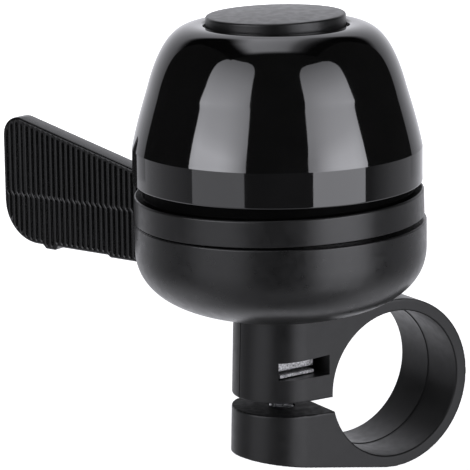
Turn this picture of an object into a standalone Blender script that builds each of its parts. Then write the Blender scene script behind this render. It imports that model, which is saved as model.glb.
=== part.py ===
"""Bicycle bell with a thumb lever, modelled as the separate pieces it is assembled from.

Frame: the origin is the middle of the handlebar clamp's bore. +Y runs along the handlebar, +Z is up,
and the bell's own axis stands upright at X = -BELL_OFFSET. All sizes are in metres.
"""
import math

import bmesh
import bpy
from mathutils import Matrix, Vector

# ---------------------------------------------------------------------------------------------
# Driving dimensions
# ---------------------------------------------------------------------------------------------
CONTACT_GAP = 0.0003          # air left between pieces that rest on each other
RUN_GAP = 0.0004              # air left around pieces that move
CUT_OVERRUN = 0.0010          # how far a cutter runs past the face it cuts
UNION_OVERLAP = 0.0004        # how far shapes that are joined run into each other

# handlebar clamp
BORE_RADIUS = 0.0112          # grips a 22.2 mm handlebar
BORE_CREST = 0.00015          # the bore narrows by this much at its middle
BORE_STOCK = 0.0002           # left inside the bore for its cutter to take off
RING_WALL = 0.00183
CLAMP_WIDTH = 0.0147
BELL_STANDOFF = 0.0045        # from the bore's wall to the bell's axis
RING_RISE = 0.00163           # how far the ring stands above the post's top
POST_REACH_TOP = 0.0070       # how far the rounded end stands out from the bell axis
POST_REACH_BOTTOM = 0.0079
CLAMP_GAP_TOP = -0.0004
CLAMP_GAP_BOTTOM = -0.0027
POST_CORNER = 0.0008
BORE_CORNER = 0.0005
EAR_CORNER = 0.0003
EAR_SLOPE = math.radians(9.5)  # fall of the lower ear's underside towards the ring

# clamp screw, its nut and its washer
SCREW_RADIUS = 0.0020
SCREW_HEAD_RADIUS = 0.0035
SCREW_HEAD_HEIGHT = 0.0024
SCREW_SEAT_Z = -0.0068
SCREW_TIP_Z = 0.0071
SCREW_TIP_CHAMFER = 0.0004
SCREW_HEAD_CHAMFER = 0.0006
DRIVE_SLOT_WIDTH = 0.0010
DRIVE_SLOT_DEPTH = 0.0012
DRIVE_SLOT_LENGTH = 0.0050
NUT_POCKET_BOTTOM = 0.0034
NUT_POCKET_SIDE_GAP = 0.00035
NUT_SIDE = 0.0070
CLAMP_NUT_THICKNESS = 0.0013
NUT_PLATE_THICKNESS = 0.0004
NUT_PLATE_REACH = 0.0055      # the plate under the nut comes forward nearly to the post's surface

# lower bowl
BOWL_RADIUS = 0.02165
BOWL_HEIGHT = 0.0142
BOWL_WALL = 0.0018
BOWL_FLOOR_THICKNESS = 0.0020
BOWL_BASE_RADIUS = 0.0042
BOWL_UPRIGHT = 0.0037         # height of the upright wall above the round bottom
BOWL_FULLNESS = 2.4           # exponent of the bottom's outline, 2 is an ellipse
BOWL_COVE = 0.0012            # height of the slope from the floor into the ledge
BOWL_COVE_WIDTH = 0.0020
LEDGE_HEIGHT = 0.0053         # from the bowl's base
LEDGE_WIDTH = 0.0057
SEAT_STEP = 0.00115           # the plate's seat is this much narrower than the bowl's wall
LIP_ROUNDING = 0.0006

# mechanism cover, the ring under the dome
COVER_SETBACK = 0.00025       # behind the bowl's surface
COVER_WALL = 0.0018
COVER_BAND_HEIGHT = 0.0039
COLLAR_STEP = 0.0014          # from the band in to the collar that stands up inside the dome
COLLAR_HEIGHT = 0.0027
COVER_DECK_THICKNESS = 0.0014
SPIGOT_HEIGHT = 0.0010
SPIGOT_WALL = 0.0010

# dome
DOME_SETBACK = 0.00015        # behind the bowl's surface
DOME_WALL = 0.0009
DOME_LIFT = 0.00175           # from the cover's band up to the dome's rim
DOME_SKIRT = 0.00525          # height of the upright part above the rim
DOME_HEIGHT = 0.02355
DOME_TAPER = math.radians(15)
DOME_SHOULDER_LIFT = 0.0140   # height above the rim where the side starts to turn in
DOME_SIDE_HOLD = 0.66         # how far the turn keeps the side's direction, of its own height
DOME_CROWN_HOLD = 0.35        # how far it keeps the crown's direction, of its own width
CROWN_RADIUS = 0.0118         # of the rounded edge's inner end
CROWN_RECESS_DEPTH = 0.0010
CROWN_RECESS_MARGIN = 0.00046  # from the cap's edge to the recess it lies in
DISH_RADIUS = 0.0070
DISH_DEPTH = 0.0028           # below the recess

# cap
CAP_OVERLAP = 0.00314         # the cap reaches this far past the dish's edge
CAP_HEIGHT = 0.0014           # above the dome's top
CAP_CROWN = 0.00025
CAP_EDGE = 0.0003
CAP_WALL = 0.0011
CAP_COLLAR_WALL = 0.0010
CAP_COLLAR_REACH = 0.0008     # air between the collar's lower edge and the dish's floor

# centre stud and what is threaded on it
STUD_RADIUS = 0.0020
STUD_ENGAGEMENT = 0.0025      # depth in the clamp's post
NUT_ACROSS_FLATS = 0.0070
BASE_NUT_THICKNESS = 0.0020
DOME_NUT_THICKNESS = 0.0024
WASHER_RADIUS = 0.0048
WASHER_THICKNESS = 0.0006
SPACER_WALL = 0.0013
ROTOR_SPACER_WALL = 0.00055
CLIP_THICKNESS = 0.0007
CLIP_WIDTH = 0.0018

# mechanism plate and cover posts
PLATE_THICKNESS = 0.0012
POST_RADIUS = 0.0023
POST_SHANK_RADIUS = 0.0012
POST_SHANK_DEPTH = 0.0020
POST_WALL_GAP = 0.0003        # from a post to the cover's collar
POST_ANGLES = (math.radians(-100), math.radians(-25), math.radians(50))
COVER_SCREW_RADIUS = 0.0010
COVER_SCREW_HEAD_RADIUS = 0.0021
COVER_SCREW_LENGTH = 0.0060

# gears
IDLER_WALL_GAP = 0.00099      # from the idler gear's tips to the bowl's wall
PRESSURE_ANGLE = math.radians(25)
TOOTH_HEIGHT = 0.8            # addendum in modules
TOOTH_DEPTH = 1.05            # dedendum in modules
BACKLASH = 0.00012
GEAR_CENTRE_CLEARANCE = 0.0001
SECTOR_TEETH = 28             # teeth that the lever's sector would have on a full circle
IDLER_PINION_TEETH = 9
IDLER_GEAR_TEETH = 20
ROTOR_TEETH = 12
SECTOR_THICKNESS = 0.0020
IDLER_GEAR_THICKNESS = 0.0018
ROTOR_PINION_THICKNESS = 0.0022
GEAR_LEVEL_GAP = 0.0005
IDLER_HUB_RADIUS = 0.0026
IDLER_HUB_HEIGHT = 0.0008
IDLER_PIN_RADIUS = 0.0012

# thumb lever
LEVER_ANGLE = math.radians(112)
LEVER_TRAVEL = math.radians(35)
LEVER_PIN_RADIUS = 0.0015
LEVER_HUB_WALL_GAP = 0.0011   # from the lever's hub to the cover's collar
LEVER_HUB_RADIUS = 0.0035
LEVER_THICKNESS = 0.0033
SECTOR_MARGIN = math.radians(9)
SECTOR_INNER_RADIUS = 0.0023
NECK_ROOT = 0.0025            # from the pivot
NECK_HEIGHT = 0.0055
NECK_DROP = 0.0004            # the neck's top lies this far below the bowl's lip
WINDOW_OVERRUN = 0.00675      # how far the window's cutter runs out past the bowl
PADDLE_GAP = 0.00215          # from the bowl's surface to the paddle
PADDLE_LENGTH = 0.0287
PADDLE_STEP = 0.0076          # from the paddle's root
PADDLE_BOSS = 0.0091          # from the paddle's tip
PADDLE_BELOW_NECK = 0.0034
PADDLE_ROOT_DROP = 0.00035
PADDLE_ABOVE_NECK = 0.00465
PADDLE_RISE = math.radians(14)
PADDLE_TOP_CORNER = 0.0030
PADDLE_LOWER_CORNER = 0.0065
PADDLE_BOSS_RADIUS = 0.0016
PADDLE_BOSS_DROP = 0.0006

# lever spring
SPRING_WIRE_RADIUS = 0.00035
SPRING_TURNS = 3
SPRING_PITCH = 0.0009
SPRING_FOOT = 0.0020          # how far the lower leg reaches down beside the lever's neck
SPRING_POST_RADIUS = 0.0010
SPRING_POST_REACH = 0.0077    # from the lever's pivot
SPRING_POST_TURN = math.radians(97)

# rotor and clappers
ROTOR_TUBE_WALL = 0.0009
ROTOR_DECK_CLEARANCE = 0.0005
ARM_THICKNESS = 0.0014
ARM_WIDTH = 0.0052
ARM_LIFT = 0.0010             # above the cover's deck
ROTOR_HUB_RISE = 0.0004
CLAPPER_AIR = 0.0004          # between a clapper at its outer stop and the dome's skirt
CLAPPER_RADIUS = 0.0046
CLAPPER_THICKNESS = 0.0022
CLAPPER_PIN_RADIUS = 0.0012
CLAPPER_HEAD_RADIUS = 0.0030
CLAPPER_HEAD_THICKNESS = 0.0008
CLAPPER_TRAVEL = 0.0012

FINE_STEPS = 48               # facets of the large turned pieces
MEDIUM_STEPS = 24             # facets of the clappers and the lever's hub
SMALL_STEPS = 16              # facets of pins, screws and washers
RING_ARC_STEPS = 44
END_ARC_STEPS = 20
BOWL_ARC_STEPS = 9
SHOULDER_ARC_STEPS = 8
BAR_ARC_STEPS = 8
PADDLE_ARC_STEPS = 6
EDGE_ARC_STEPS = 3            # steps in each small rounded edge
SPRING_STEP = math.radians(20)

# ---------------------------------------------------------------------------------------------
# Places worked out from the dimensions
# ---------------------------------------------------------------------------------------------
RING_RADIUS = BORE_RADIUS + RING_WALL
POST_TOP = RING_RADIUS - RING_RISE
HALF_WIDTH = CLAMP_WIDTH / 2
BELL_OFFSET = BORE_RADIUS + BELL_STANDOFF
BELL_AXIS = Vector((-BELL_OFFSET, 0, 0))

NUT_POCKET_HEIGHT = CLAMP_NUT_THICKNESS + NUT_PLATE_THICKNESS + 3 * CONTACT_GAP
NUT_POCKET_HALF = NUT_SIDE / 2 + NUT_POCKET_SIDE_GAP
STUD_BOTTOM = POST_TOP - STUD_ENGAGEMENT
STUD_HOLE_RADIUS = STUD_RADIUS + CONTACT_GAP

BOWL_BOTTOM = POST_TOP + CONTACT_GAP
BOWL_TOP = BOWL_BOTTOM + BOWL_HEIGHT
BOWL_CURVE_TOP = BOWL_TOP - BOWL_UPRIGHT
BOWL_INNER_RADIUS = BOWL_RADIUS - BOWL_WALL
BOWL_FLOOR = BOWL_BOTTOM + BOWL_FLOOR_THICKNESS
PLATE_SEAT_RADIUS = BOWL_INNER_RADIUS - SEAT_STEP
LEDGE_INNER_RADIUS = PLATE_SEAT_RADIUS - LEDGE_WIDTH
BOWL_FLOOR_RADIUS = LEDGE_INNER_RADIUS - BOWL_COVE_WIDTH
LEDGE_Z = BOWL_BOTTOM + LEDGE_HEIGHT
BASE_WASHER_Z = BOWL_FLOOR + CONTACT_GAP
BASE_NUT_Z = BASE_WASHER_Z + WASHER_THICKNESS + CONTACT_GAP

PLATE_BOTTOM = LEDGE_Z + CONTACT_GAP
PLATE_TOP = PLATE_BOTTOM + PLATE_THICKNESS
PLATE_RADIUS = PLATE_SEAT_RADIUS - CONTACT_GAP
MECHANISM_Z = PLATE_TOP + CONTACT_GAP      # where pieces that sit on the plate begin

COVER_RADIUS = BOWL_RADIUS - COVER_SETBACK
COVER_BOTTOM = BOWL_TOP + CONTACT_GAP
COVER_BAND_TOP = COVER_BOTTOM + COVER_BAND_HEIGHT
COLLAR_RADIUS = COVER_RADIUS - COLLAR_STEP
COLLAR_INNER_RADIUS = COLLAR_RADIUS - COVER_WALL
COVER_DECK_TOP = COVER_BAND_TOP + COLLAR_HEIGHT
COVER_DECK_BOTTOM = COVER_DECK_TOP - COVER_DECK_THICKNESS
PIN_TOP = COVER_DECK_BOTTOM - CONTACT_GAP
POST_CIRCLE = COLLAR_INNER_RADIUS - POST_WALL_GAP - POST_RADIUS

DOME_RADIUS = BOWL_RADIUS - DOME_SETBACK
DOME_RIM_Z = COVER_BAND_TOP + DOME_LIFT
DOME_CREASE_Z = DOME_RIM_Z + DOME_SKIRT
DOME_TOP = DOME_RIM_Z + DOME_HEIGHT
CROWN_FLOOR = DOME_TOP - CROWN_RECESS_DEPTH
CAP_RADIUS = DISH_RADIUS + CAP_OVERLAP
CAP_TOP = DOME_TOP + CAP_HEIGHT
CLAPPER_CIRCLE = DOME_RADIUS - DOME_WALL - CLAPPER_AIR - CLAPPER_TRAVEL - CLAPPER_RADIUS

SECTOR_Z = MECHANISM_Z + GEAR_LEVEL_GAP
SECTOR_TOP = SECTOR_Z + SECTOR_THICKNESS
IDLER_GEAR_Z = SECTOR_TOP + RUN_GAP
IDLER_GEAR_TOP = IDLER_GEAR_Z + IDLER_GEAR_THICKNESS
IDLER_TOP = IDLER_GEAR_TOP + IDLER_HUB_HEIGHT
ROTOR_Z = SECTOR_TOP + GEAR_LEVEL_GAP
ROTOR_PINION_TOP = ROTOR_Z + ROTOR_PINION_THICKNESS
ROTOR_BORE = STUD_RADIUS + CONTACT_GAP
ROTOR_TUBE_RADIUS = ROTOR_BORE + ROTOR_TUBE_WALL
ARM_Z = COVER_DECK_TOP + ARM_LIFT
ARM_TOP = ARM_Z + ARM_THICKNESS
ROTOR_TOP = ARM_TOP + ROTOR_HUB_RISE

IDLER_REACH_IN_MODULES = ROTOR_TEETH / 2 + IDLER_GEAR_TEETH + TOOTH_HEIGHT
GEAR_MODULE = (BOWL_INNER_RADIUS - IDLER_WALL_GAP - GEAR_CENTRE_CLEARANCE) / IDLER_REACH_IN_MODULES
SECTOR_PITCH_RADIUS = SECTOR_TEETH * GEAR_MODULE / 2
IDLER_PINION_RADIUS = IDLER_PINION_TEETH * GEAR_MODULE / 2
IDLER_GEAR_RADIUS = IDLER_GEAR_TEETH * GEAR_MODULE / 2
ROTOR_PITCH_RADIUS = ROTOR_TEETH * GEAR_MODULE / 2
PIVOT_TO_IDLER = SECTOR_PITCH_RADIUS + IDLER_PINION_RADIUS + GEAR_CENTRE_CLEARANCE
AXIS_TO_IDLER = IDLER_GEAR_RADIUS + ROTOR_PITCH_RADIUS + GEAR_CENTRE_CLEARANCE

LEVER_PIVOT_RADIUS = COLLAR_INNER_RADIUS - LEVER_HUB_WALL_GAP - LEVER_HUB_RADIUS
NECK_TOP = BOWL_TOP - NECK_DROP
NECK_BOTTOM = NECK_TOP - NECK_HEIGHT
WINDOW_REACH = BOWL_RADIUS - LEVER_PIVOT_RADIUS + WINDOW_OVERRUN
PADDLE_START = BOWL_RADIUS + PADDLE_GAP - LEVER_PIVOT_RADIUS
PADDLE_TIP = PADDLE_START + PADDLE_LENGTH
PADDLE_BOTTOM = NECK_BOTTOM - PADDLE_BELOW_NECK
PADDLE_ROOT_TOP = NECK_TOP + PADDLE_ABOVE_NECK


def polar(radius, angle, z=0.0):
    """A point at an angle and a distance from the bell axis."""
    return BELL_AXIS + Vector((radius * math.cos(angle), radius * math.sin(angle), z))


def heading(start, end):
    """The angle of the line from one point to another, seen from above."""
    return math.atan2(end.y - start.y, end.x - start.x)


IDLER_SPREAD = math.acos((LEVER_PIVOT_RADIUS ** 2 + AXIS_TO_IDLER ** 2 - PIVOT_TO_IDLER ** 2)
                         / (2 * LEVER_PIVOT_RADIUS * AXIS_TO_IDLER))
PIVOT = polar(LEVER_PIVOT_RADIUS, LEVER_ANGLE)
IDLER_AXIS = polar(AXIS_TO_IDLER, LEVER_ANGLE + IDLER_SPREAD)
SECTOR_HEADING = heading(PIVOT, IDLER_AXIS)
IDLER_HEADING = heading(IDLER_AXIS, BELL_AXIS)

CLIP_Z = ROTOR_TOP + CONTACT_GAP
SPACER_Z = CLIP_Z + CLIP_THICKNESS + CONTACT_GAP
DISH_FLOOR = CROWN_FLOOR - DISH_DEPTH
SPACER_TOP = DISH_FLOOR - DOME_WALL - CONTACT_GAP
DOME_WASHER_Z = DISH_FLOOR + CONTACT_GAP
DOME_NUT_Z = DOME_WASHER_Z + WASHER_THICKNESS + CONTACT_GAP
CAP_UNDERSIDE = CAP_TOP - CAP_WALL
STUD_TOP = CAP_UNDERSIDE - CONTACT_GAP
CAP_BOTTOM = CROWN_FLOOR + CONTACT_GAP

SPRING_Z = NECK_TOP + RUN_GAP + 2 * SPRING_WIRE_RADIUS
SPRING_RADIUS = LEVER_HUB_RADIUS + SPRING_WIRE_RADIUS + RUN_GAP
SPRING_TOP = SPRING_Z + SPRING_TURNS * SPRING_PITCH
HUB_TOP = PIN_TOP - CONTACT_GAP
LEVER_HUB_BORE = LEVER_PIN_RADIUS + CONTACT_GAP
CLAPPER_BORE = CLAPPER_PIN_RADIUS + CLAPPER_TRAVEL + CONTACT_GAP
CLAPPER_Z = ARM_TOP + RUN_GAP


# ---------------------------------------------------------------------------------------------
# Scene, materials and helpers
# ---------------------------------------------------------------------------------------------
def clear_scene():
    """Remove every object, so that only the bell is left."""
    for obj in list(bpy.data.objects):
        bpy.data.objects.remove(obj, do_unlink=True)


def new_collection(name):
    """Make a collection and link it to the scene."""
    collection = bpy.data.collections.new(name)
    bpy.context.scene.collection.children.link(collection)
    return collection


def new_material(name, colour, roughness, metallic):
    """Make a Principled material."""
    material = bpy.data.materials.new(name)
    material.use_nodes = True
    shader = material.node_tree.nodes["Principled BSDF"]
    shader.inputs["Base Color"].default_value = (*colour, 1.0)
    shader.inputs["Roughness"].default_value = roughness
    shader.inputs["Metallic"].default_value = metallic
    return material


clear_scene()
BELL = new_collection("bicycle_bell")
CUTTERS = new_collection("cutters")
GLOSS_BLACK = ((0.004, 0.004, 0.005), 0.06, 0.9)
MATT_BLACK = ((0.012, 0.012, 0.013), 0.45, 0.0)
ZINC = ((0.62, 0.63, 0.65), 0.28, 1.0)
STEEL = ((0.52, 0.53, 0.55), 0.35, 1.0)
BRASS = ((0.72, 0.53, 0.24), 0.30, 1.0)
NYLON = ((0.75, 0.73, 0.66), 0.50, 0.0)


def place(name, mesh, finish=None):
    """Put a mesh in the scene: as a part if it has a finish, otherwise as a cutter or guide."""
    obj = bpy.data.objects.new(name, mesh)
    if finish is None:
        CUTTERS.objects.link(obj)
        obj.hide_render = True
        obj.display_type = "WIRE"
        return obj
    BELL.objects.link(obj)
    mesh.materials.append(new_material(name, *finish))
    return obj


def turned(name, profile, finish=None, steps=SMALL_STEPS, closed=True, centre=BELL_AXIS, axis="Z"):
    """Turn a profile of (radius, height) points that runs down its outer side and up its inner side."""
    mesh = bpy.data.meshes.new(name)
    bm = bmesh.new()
    points = [bm.verts.new((radius, 0, height)) for radius, height in profile]
    for start, end in zip(points, points[1:]):
        bm.edges.new((start, end))
    if closed:
        bm.edges.new((points[-1], points[0]))
    bm.to_mesh(mesh)
    bm.free()
    obj = place(name, mesh, finish)
    obj.location = centre
    if axis == "Y":
        obj.rotation_euler = (math.radians(-90), 0, 0)
    screw = obj.modifiers.new("turn", "SCREW")
    screw.axis = "Z"
    screw.steps = steps
    screw.render_steps = steps
    screw.use_merge_vertices = True
    screw.merge_threshold = 0.00001
    screw.use_smooth_shade = False
    return obj


def tube(name, inner, outer, bottom, top, finish=None, centre=BELL_AXIS, steps=SMALL_STEPS):
    """A plain sleeve, washer or ring."""
    profile = [(outer, top), (outer, bottom), (inner, bottom), (inner, top)]
    return turned(name, profile, finish, steps, centre=centre)


def rod(name, radius, bottom, top, finish=None, centre=BELL_AXIS, steps=SMALL_STEPS):
    """A plain round pin."""
    profile = [(0, top), (radius, top), (radius, bottom), (0, bottom)]
    return turned(name, profile, finish, steps, closed=False, centre=centre)


def flat(name, outlines, bottom, top, finish=None, centre=BELL_AXIS, side=False):
    """Extrude closed outlines between two heights, or between two Y values for a side view."""
    curve = bpy.data.curves.new(name + "_outline", "CURVE")
    curve.dimensions = "2D"
    curve.fill_mode = "BOTH"
    curve.extrude = (top - bottom) / 2
    for outline in outlines:
        spline = curve.splines.new("POLY")
        spline.points.add(len(outline) - 1)
        for point, (x, y) in zip(spline.points, outline):
            point.co = (x, y, 0, 1)
        spline.use_cyclic_u = True
    guide = bpy.data.objects.new(name + "_outline", curve)
    CUTTERS.objects.link(guide)
    bpy.context.view_layer.update()
    graph = bpy.context.evaluated_depsgraph_get()
    mesh = bpy.data.meshes.new_from_object(guide.evaluated_get(graph))
    bpy.data.objects.remove(guide, do_unlink=True)
    if side:
        mesh.transform(Matrix.Rotation(math.radians(90), 4, "X"))
        mesh.transform(Matrix.Translation((0, (bottom + top) / 2, 0)))
    else:
        mesh.transform(Matrix.Translation((0, 0, (bottom + top) / 2)))
    weld(mesh)
    mesh.name = name
    obj = place(name, mesh, finish)
    obj.location = centre
    return obj


def weld(mesh):
    """Close a mesh that was made from a curve."""
    bm = bmesh.new()
    bm.from_mesh(mesh)
    bmesh.ops.remove_doubles(bm, verts=bm.verts, dist=0.000002)
    bmesh.ops.recalc_face_normals(bm, faces=bm.faces)
    bm.to_mesh(mesh)
    bm.free()


def box(name, low, high, finish=None):
    """A box between two corners."""
    mesh = bpy.data.meshes.new(name)
    bm = bmesh.new()
    bmesh.ops.create_cube(bm, size=1)
    low, high = Vector(low), Vector(high)
    bmesh.ops.scale(bm, vec=high - low, verts=bm.verts)
    bmesh.ops.translate(bm, vec=(low + high) / 2, verts=bm.verts)
    bm.to_mesh(mesh)
    bm.free()
    return place(name, mesh, finish)


def combine(obj, other, operation):
    """Join, cut or keep the common part of two closed shapes."""
    boolean = obj.modifiers.new(operation.lower(), "BOOLEAN")
    boolean.object = other
    boolean.operation = operation
    boolean.solver = "EXACT"


def arc(centre_x, centre_y, radius, start, end, count):
    """Points on an arc between two angles in radians, both ends included."""
    step = (end - start) / count
    return [(centre_x + radius * math.cos(start + step * i),
             centre_y + radius * math.sin(start + step * i)) for i in range(count + 1)]


def rounded(points, radii):
    """Round the corners of a closed outline; a radius of 0 keeps the corner sharp."""
    result = []
    for index, (corner, radius) in enumerate(zip(points, radii)):
        here = Vector(corner)
        if radius == 0:
            result.append(tuple(here))
            continue
        before = (Vector(points[index - 1]) - here).normalized()
        after = (Vector(points[(index + 1) % len(points)]) - here).normalized()
        half = before.angle(after) / 2
        centre = here + (before + after).normalized() * radius / math.sin(half)
        start = here + before * radius / math.tan(half) - centre
        end = here + after * radius / math.tan(half) - centre
        first = math.atan2(start.y, start.x)
        sweep = math.remainder(math.atan2(end.y, end.x) - first, 2 * math.pi)
        result += arc(centre.x, centre.y, radius, first, first + sweep, PADDLE_ARC_STEPS)
    return result


def rotate_outline(outline, angle):
    """Turn an outline about its own origin."""
    c, s = math.cos(angle), math.sin(angle)
    return [(x * c - y * s, x * s + y * c) for x, y in outline]


# ---------------------------------------------------------------------------------------------
# Handlebar clamp
# ---------------------------------------------------------------------------------------------
def clamp_side_outline():
    """Side view of the clamp: ring, upright post, gap and lower ear, as (x, z) points."""
    left = -BELL_OFFSET - POST_REACH_BOTTOM
    crest = BORE_RADIUS - BORE_CREST
    stock = crest - BORE_STOCK
    bore_start = math.pi - math.asin((CLAMP_GAP_TOP + BORE_CORNER) / stock)
    bore_end = -math.pi - math.asin((CLAMP_GAP_BOTTOM - EAR_CORNER) / stock)
    post_edge = -math.sqrt(crest ** 2 - CLAMP_GAP_TOP ** 2) - BORE_CORNER
    ear_edge = -math.sqrt(crest ** 2 - CLAMP_GAP_BOTTOM ** 2) - EAR_CORNER
    tangent = -math.pi / 2 - EAR_SLOPE
    tangent_x = RING_RADIUS * math.cos(tangent)
    tangent_z = RING_RADIUS * math.sin(tangent)
    ear_bottom_left = tangent_z + (tangent_x - left) * math.tan(EAR_SLOPE)
    ring_top = math.asin(POST_TOP / RING_RADIUS)
    outline = [(left, POST_TOP)]
    outline += arc(left + POST_CORNER, CLAMP_GAP_TOP + POST_CORNER, POST_CORNER,
                   math.pi, 1.5 * math.pi, EDGE_ARC_STEPS)
    outline.append((post_edge, CLAMP_GAP_TOP))
    outline += arc(0, 0, stock, bore_start, bore_end, RING_ARC_STEPS)
    outline.append((ear_edge, CLAMP_GAP_BOTTOM))
    outline += arc(left + EAR_CORNER, CLAMP_GAP_BOTTOM - EAR_CORNER, EAR_CORNER,
                   math.pi / 2, math.pi, EDGE_ARC_STEPS)
    outline.append((left, ear_bottom_left))
    outline += arc(0, 0, RING_RADIUS, tangent, math.pi - ring_top, RING_ARC_STEPS)
    return outline


def clamp_plan():
    """Block with the clamp's plan shape: flat sides and a rounded end that widens downwards."""
    reach = (POST_REACH_TOP + POST_REACH_BOTTOM) / 2
    outline = arc(-BELL_OFFSET, 0, HALF_WIDTH, math.pi / 2, 1.5 * math.pi, END_ARC_STEPS)
    outline += [(2 * BORE_RADIUS, -HALF_WIDTH), (2 * BORE_RADIUS, HALF_WIDTH)]
    plan = flat("clamp_plan", [outline], -RING_RADIUS, RING_RADIUS, centre=(0, 0, 0))
    drop = (POST_REACH_BOTTOM - POST_REACH_TOP) / (POST_TOP + RING_RADIUS)
    for vertex in plan.data.vertices:
        over = -BELL_OFFSET - vertex.co.x
        if over > 0:
            local_reach = POST_REACH_TOP + drop * (POST_TOP - vertex.co.z)
            vertex.co.x = -BELL_OFFSET - over * local_reach / HALF_WIDTH
    return plan


def make_handlebar_clamp():
    """One moulding: the ring round the handlebar, the post under the bowl and the lower ear."""
    beyond = HALF_WIDTH + CUT_OVERRUN
    clamp = flat("handlebar_clamp", [clamp_side_outline()], -beyond, beyond, MATT_BLACK,
                 centre=(0, 0, 0), side=True)
    combine(clamp, clamp_plan(), "INTERSECT")
    crest = BORE_RADIUS - BORE_CREST
    face_radius = crest + BORE_CREST * beyond / HALF_WIDTH
    bore = turned("bore_cutter", [(0, beyond), (face_radius, beyond), (crest, 0), (face_radius, -beyond),
                                  (0, -beyond)], steps=FINE_STEPS, closed=False, centre=(0, 0, 0), axis="Y")
    combine(clamp, bore, "DIFFERENCE")
    pocket = box("nut_pocket_cutter",
                 (-BELL_OFFSET - NUT_POCKET_HALF, -2 * HALF_WIDTH, NUT_POCKET_BOTTOM),
                 (-BELL_OFFSET + NUT_POCKET_HALF, NUT_POCKET_HALF, NUT_POCKET_BOTTOM + NUT_POCKET_HEIGHT))
    combine(clamp, pocket, "DIFFERENCE")
    hole = SCREW_RADIUS + CONTACT_GAP
    head_hole = SCREW_HEAD_RADIUS + CONTACT_GAP
    hole_top = SCREW_TIP_Z + CONTACT_GAP
    screw_hole = turned("clamp_screw_cutter",
                        [(0, hole_top), (hole, hole_top), (hole, SCREW_SEAT_Z), (head_hole, SCREW_SEAT_Z),
                         (head_hole, -2 * RING_RADIUS), (0, -2 * RING_RADIUS)], closed=False)
    combine(clamp, screw_hole, "DIFFERENCE")
    stud_hole = rod("stud_hole_cutter", STUD_HOLE_RADIUS, STUD_BOTTOM - CONTACT_GAP, 2 * POST_TOP)
    combine(clamp, stud_hole, "DIFFERENCE")


def make_clamp_fasteners():
    """Screw from below, square nut in its pocket and the bearing plate under the nut."""
    head_top = SCREW_SEAT_Z - CONTACT_GAP
    head_bottom = head_top - SCREW_HEAD_HEIGHT
    screw = turned("clamp_screw",
                   [(0, SCREW_TIP_Z), (SCREW_RADIUS - SCREW_TIP_CHAMFER, SCREW_TIP_Z),
                    (SCREW_RADIUS, SCREW_TIP_Z - SCREW_TIP_CHAMFER), (SCREW_RADIUS, head_top),
                    (SCREW_HEAD_RADIUS, head_top), (SCREW_HEAD_RADIUS, head_bottom + SCREW_HEAD_CHAMFER),
                    (SCREW_HEAD_RADIUS - SCREW_HEAD_CHAMFER, head_bottom), (0, head_bottom)],
                   ZINC, closed=False)
    slots = [((DRIVE_SLOT_LENGTH, DRIVE_SLOT_WIDTH), "long"), ((DRIVE_SLOT_WIDTH, DRIVE_SLOT_LENGTH), "cross")]
    for (length, width), label in slots:
        slot = box("drive_slot_" + label,
                   (-BELL_OFFSET - length / 2, -width / 2, head_bottom - DRIVE_SLOT_DEPTH),
                   (-BELL_OFFSET + length / 2, width / 2, head_bottom + DRIVE_SLOT_DEPTH))
        combine(screw, slot, "DIFFERENCE")
    plate_bottom = NUT_POCKET_BOTTOM + CONTACT_GAP
    plate_top = plate_bottom + NUT_PLATE_THICKNESS
    nut_bottom = plate_top + CONTACT_GAP
    half = NUT_SIDE / 2
    thread = rod("clamp_thread_cutter", SCREW_RADIUS + CONTACT_GAP, 0, 2 * POST_TOP)
    plate = box("nut_plate", (-BELL_OFFSET - half, -NUT_PLATE_REACH, plate_bottom),
                (-BELL_OFFSET + half, half, plate_top), ZINC)
    nut = box("clamp_nut", (-BELL_OFFSET - half, -half, nut_bottom),
              (-BELL_OFFSET + half, half, nut_bottom + CLAMP_NUT_THICKNESS), ZINC)
    combine(plate, thread, "DIFFERENCE")
    combine(nut, thread, "DIFFERENCE")


# ---------------------------------------------------------------------------------------------
# Bowl, cover, dome and cap
# ---------------------------------------------------------------------------------------------
def window_cutter():
    """Fan that the lever's neck sweeps through the bowl's wall, with room to run."""
    half = LEVER_THICKNESS / 2 + RUN_GAP
    rest = Vector((math.cos(LEVER_ANGLE), math.sin(LEVER_ANGLE)))
    pushed = Vector((math.cos(LEVER_ANGLE - LEVER_TRAVEL), math.sin(LEVER_ANGLE - LEVER_TRAVEL)))
    rest_side = Vector((-rest.y, rest.x)) * half
    pushed_side = Vector((pushed.y, -pushed.x)) * half
    outline = [rest_side, pushed_side, pushed_side + pushed * WINDOW_REACH, rest_side + rest * WINDOW_REACH]
    return flat("window_cutter", [[tuple(point) for point in outline]], NECK_BOTTOM - RUN_GAP,
                NECK_TOP + RUN_GAP, centre=(PIVOT.x, PIVOT.y, 0))


def bowl_bottom_curve():
    """Outer outline of the bowl's round bottom, from the upright wall down to the flat base."""
    width = BOWL_RADIUS - BOWL_BASE_RADIUS
    height = BOWL_CURVE_TOP - BOWL_BOTTOM
    points = []
    for i in range(BOWL_ARC_STEPS + 1):
        angle = math.pi / 2 * i / BOWL_ARC_STEPS
        across = math.cos(angle) ** (2 / BOWL_FULLNESS)
        down = math.sin(angle) ** (2 / BOWL_FULLNESS)
        points.append((BOWL_BASE_RADIUS + width * across, BOWL_CURVE_TOP - height * down))
    return points


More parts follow.
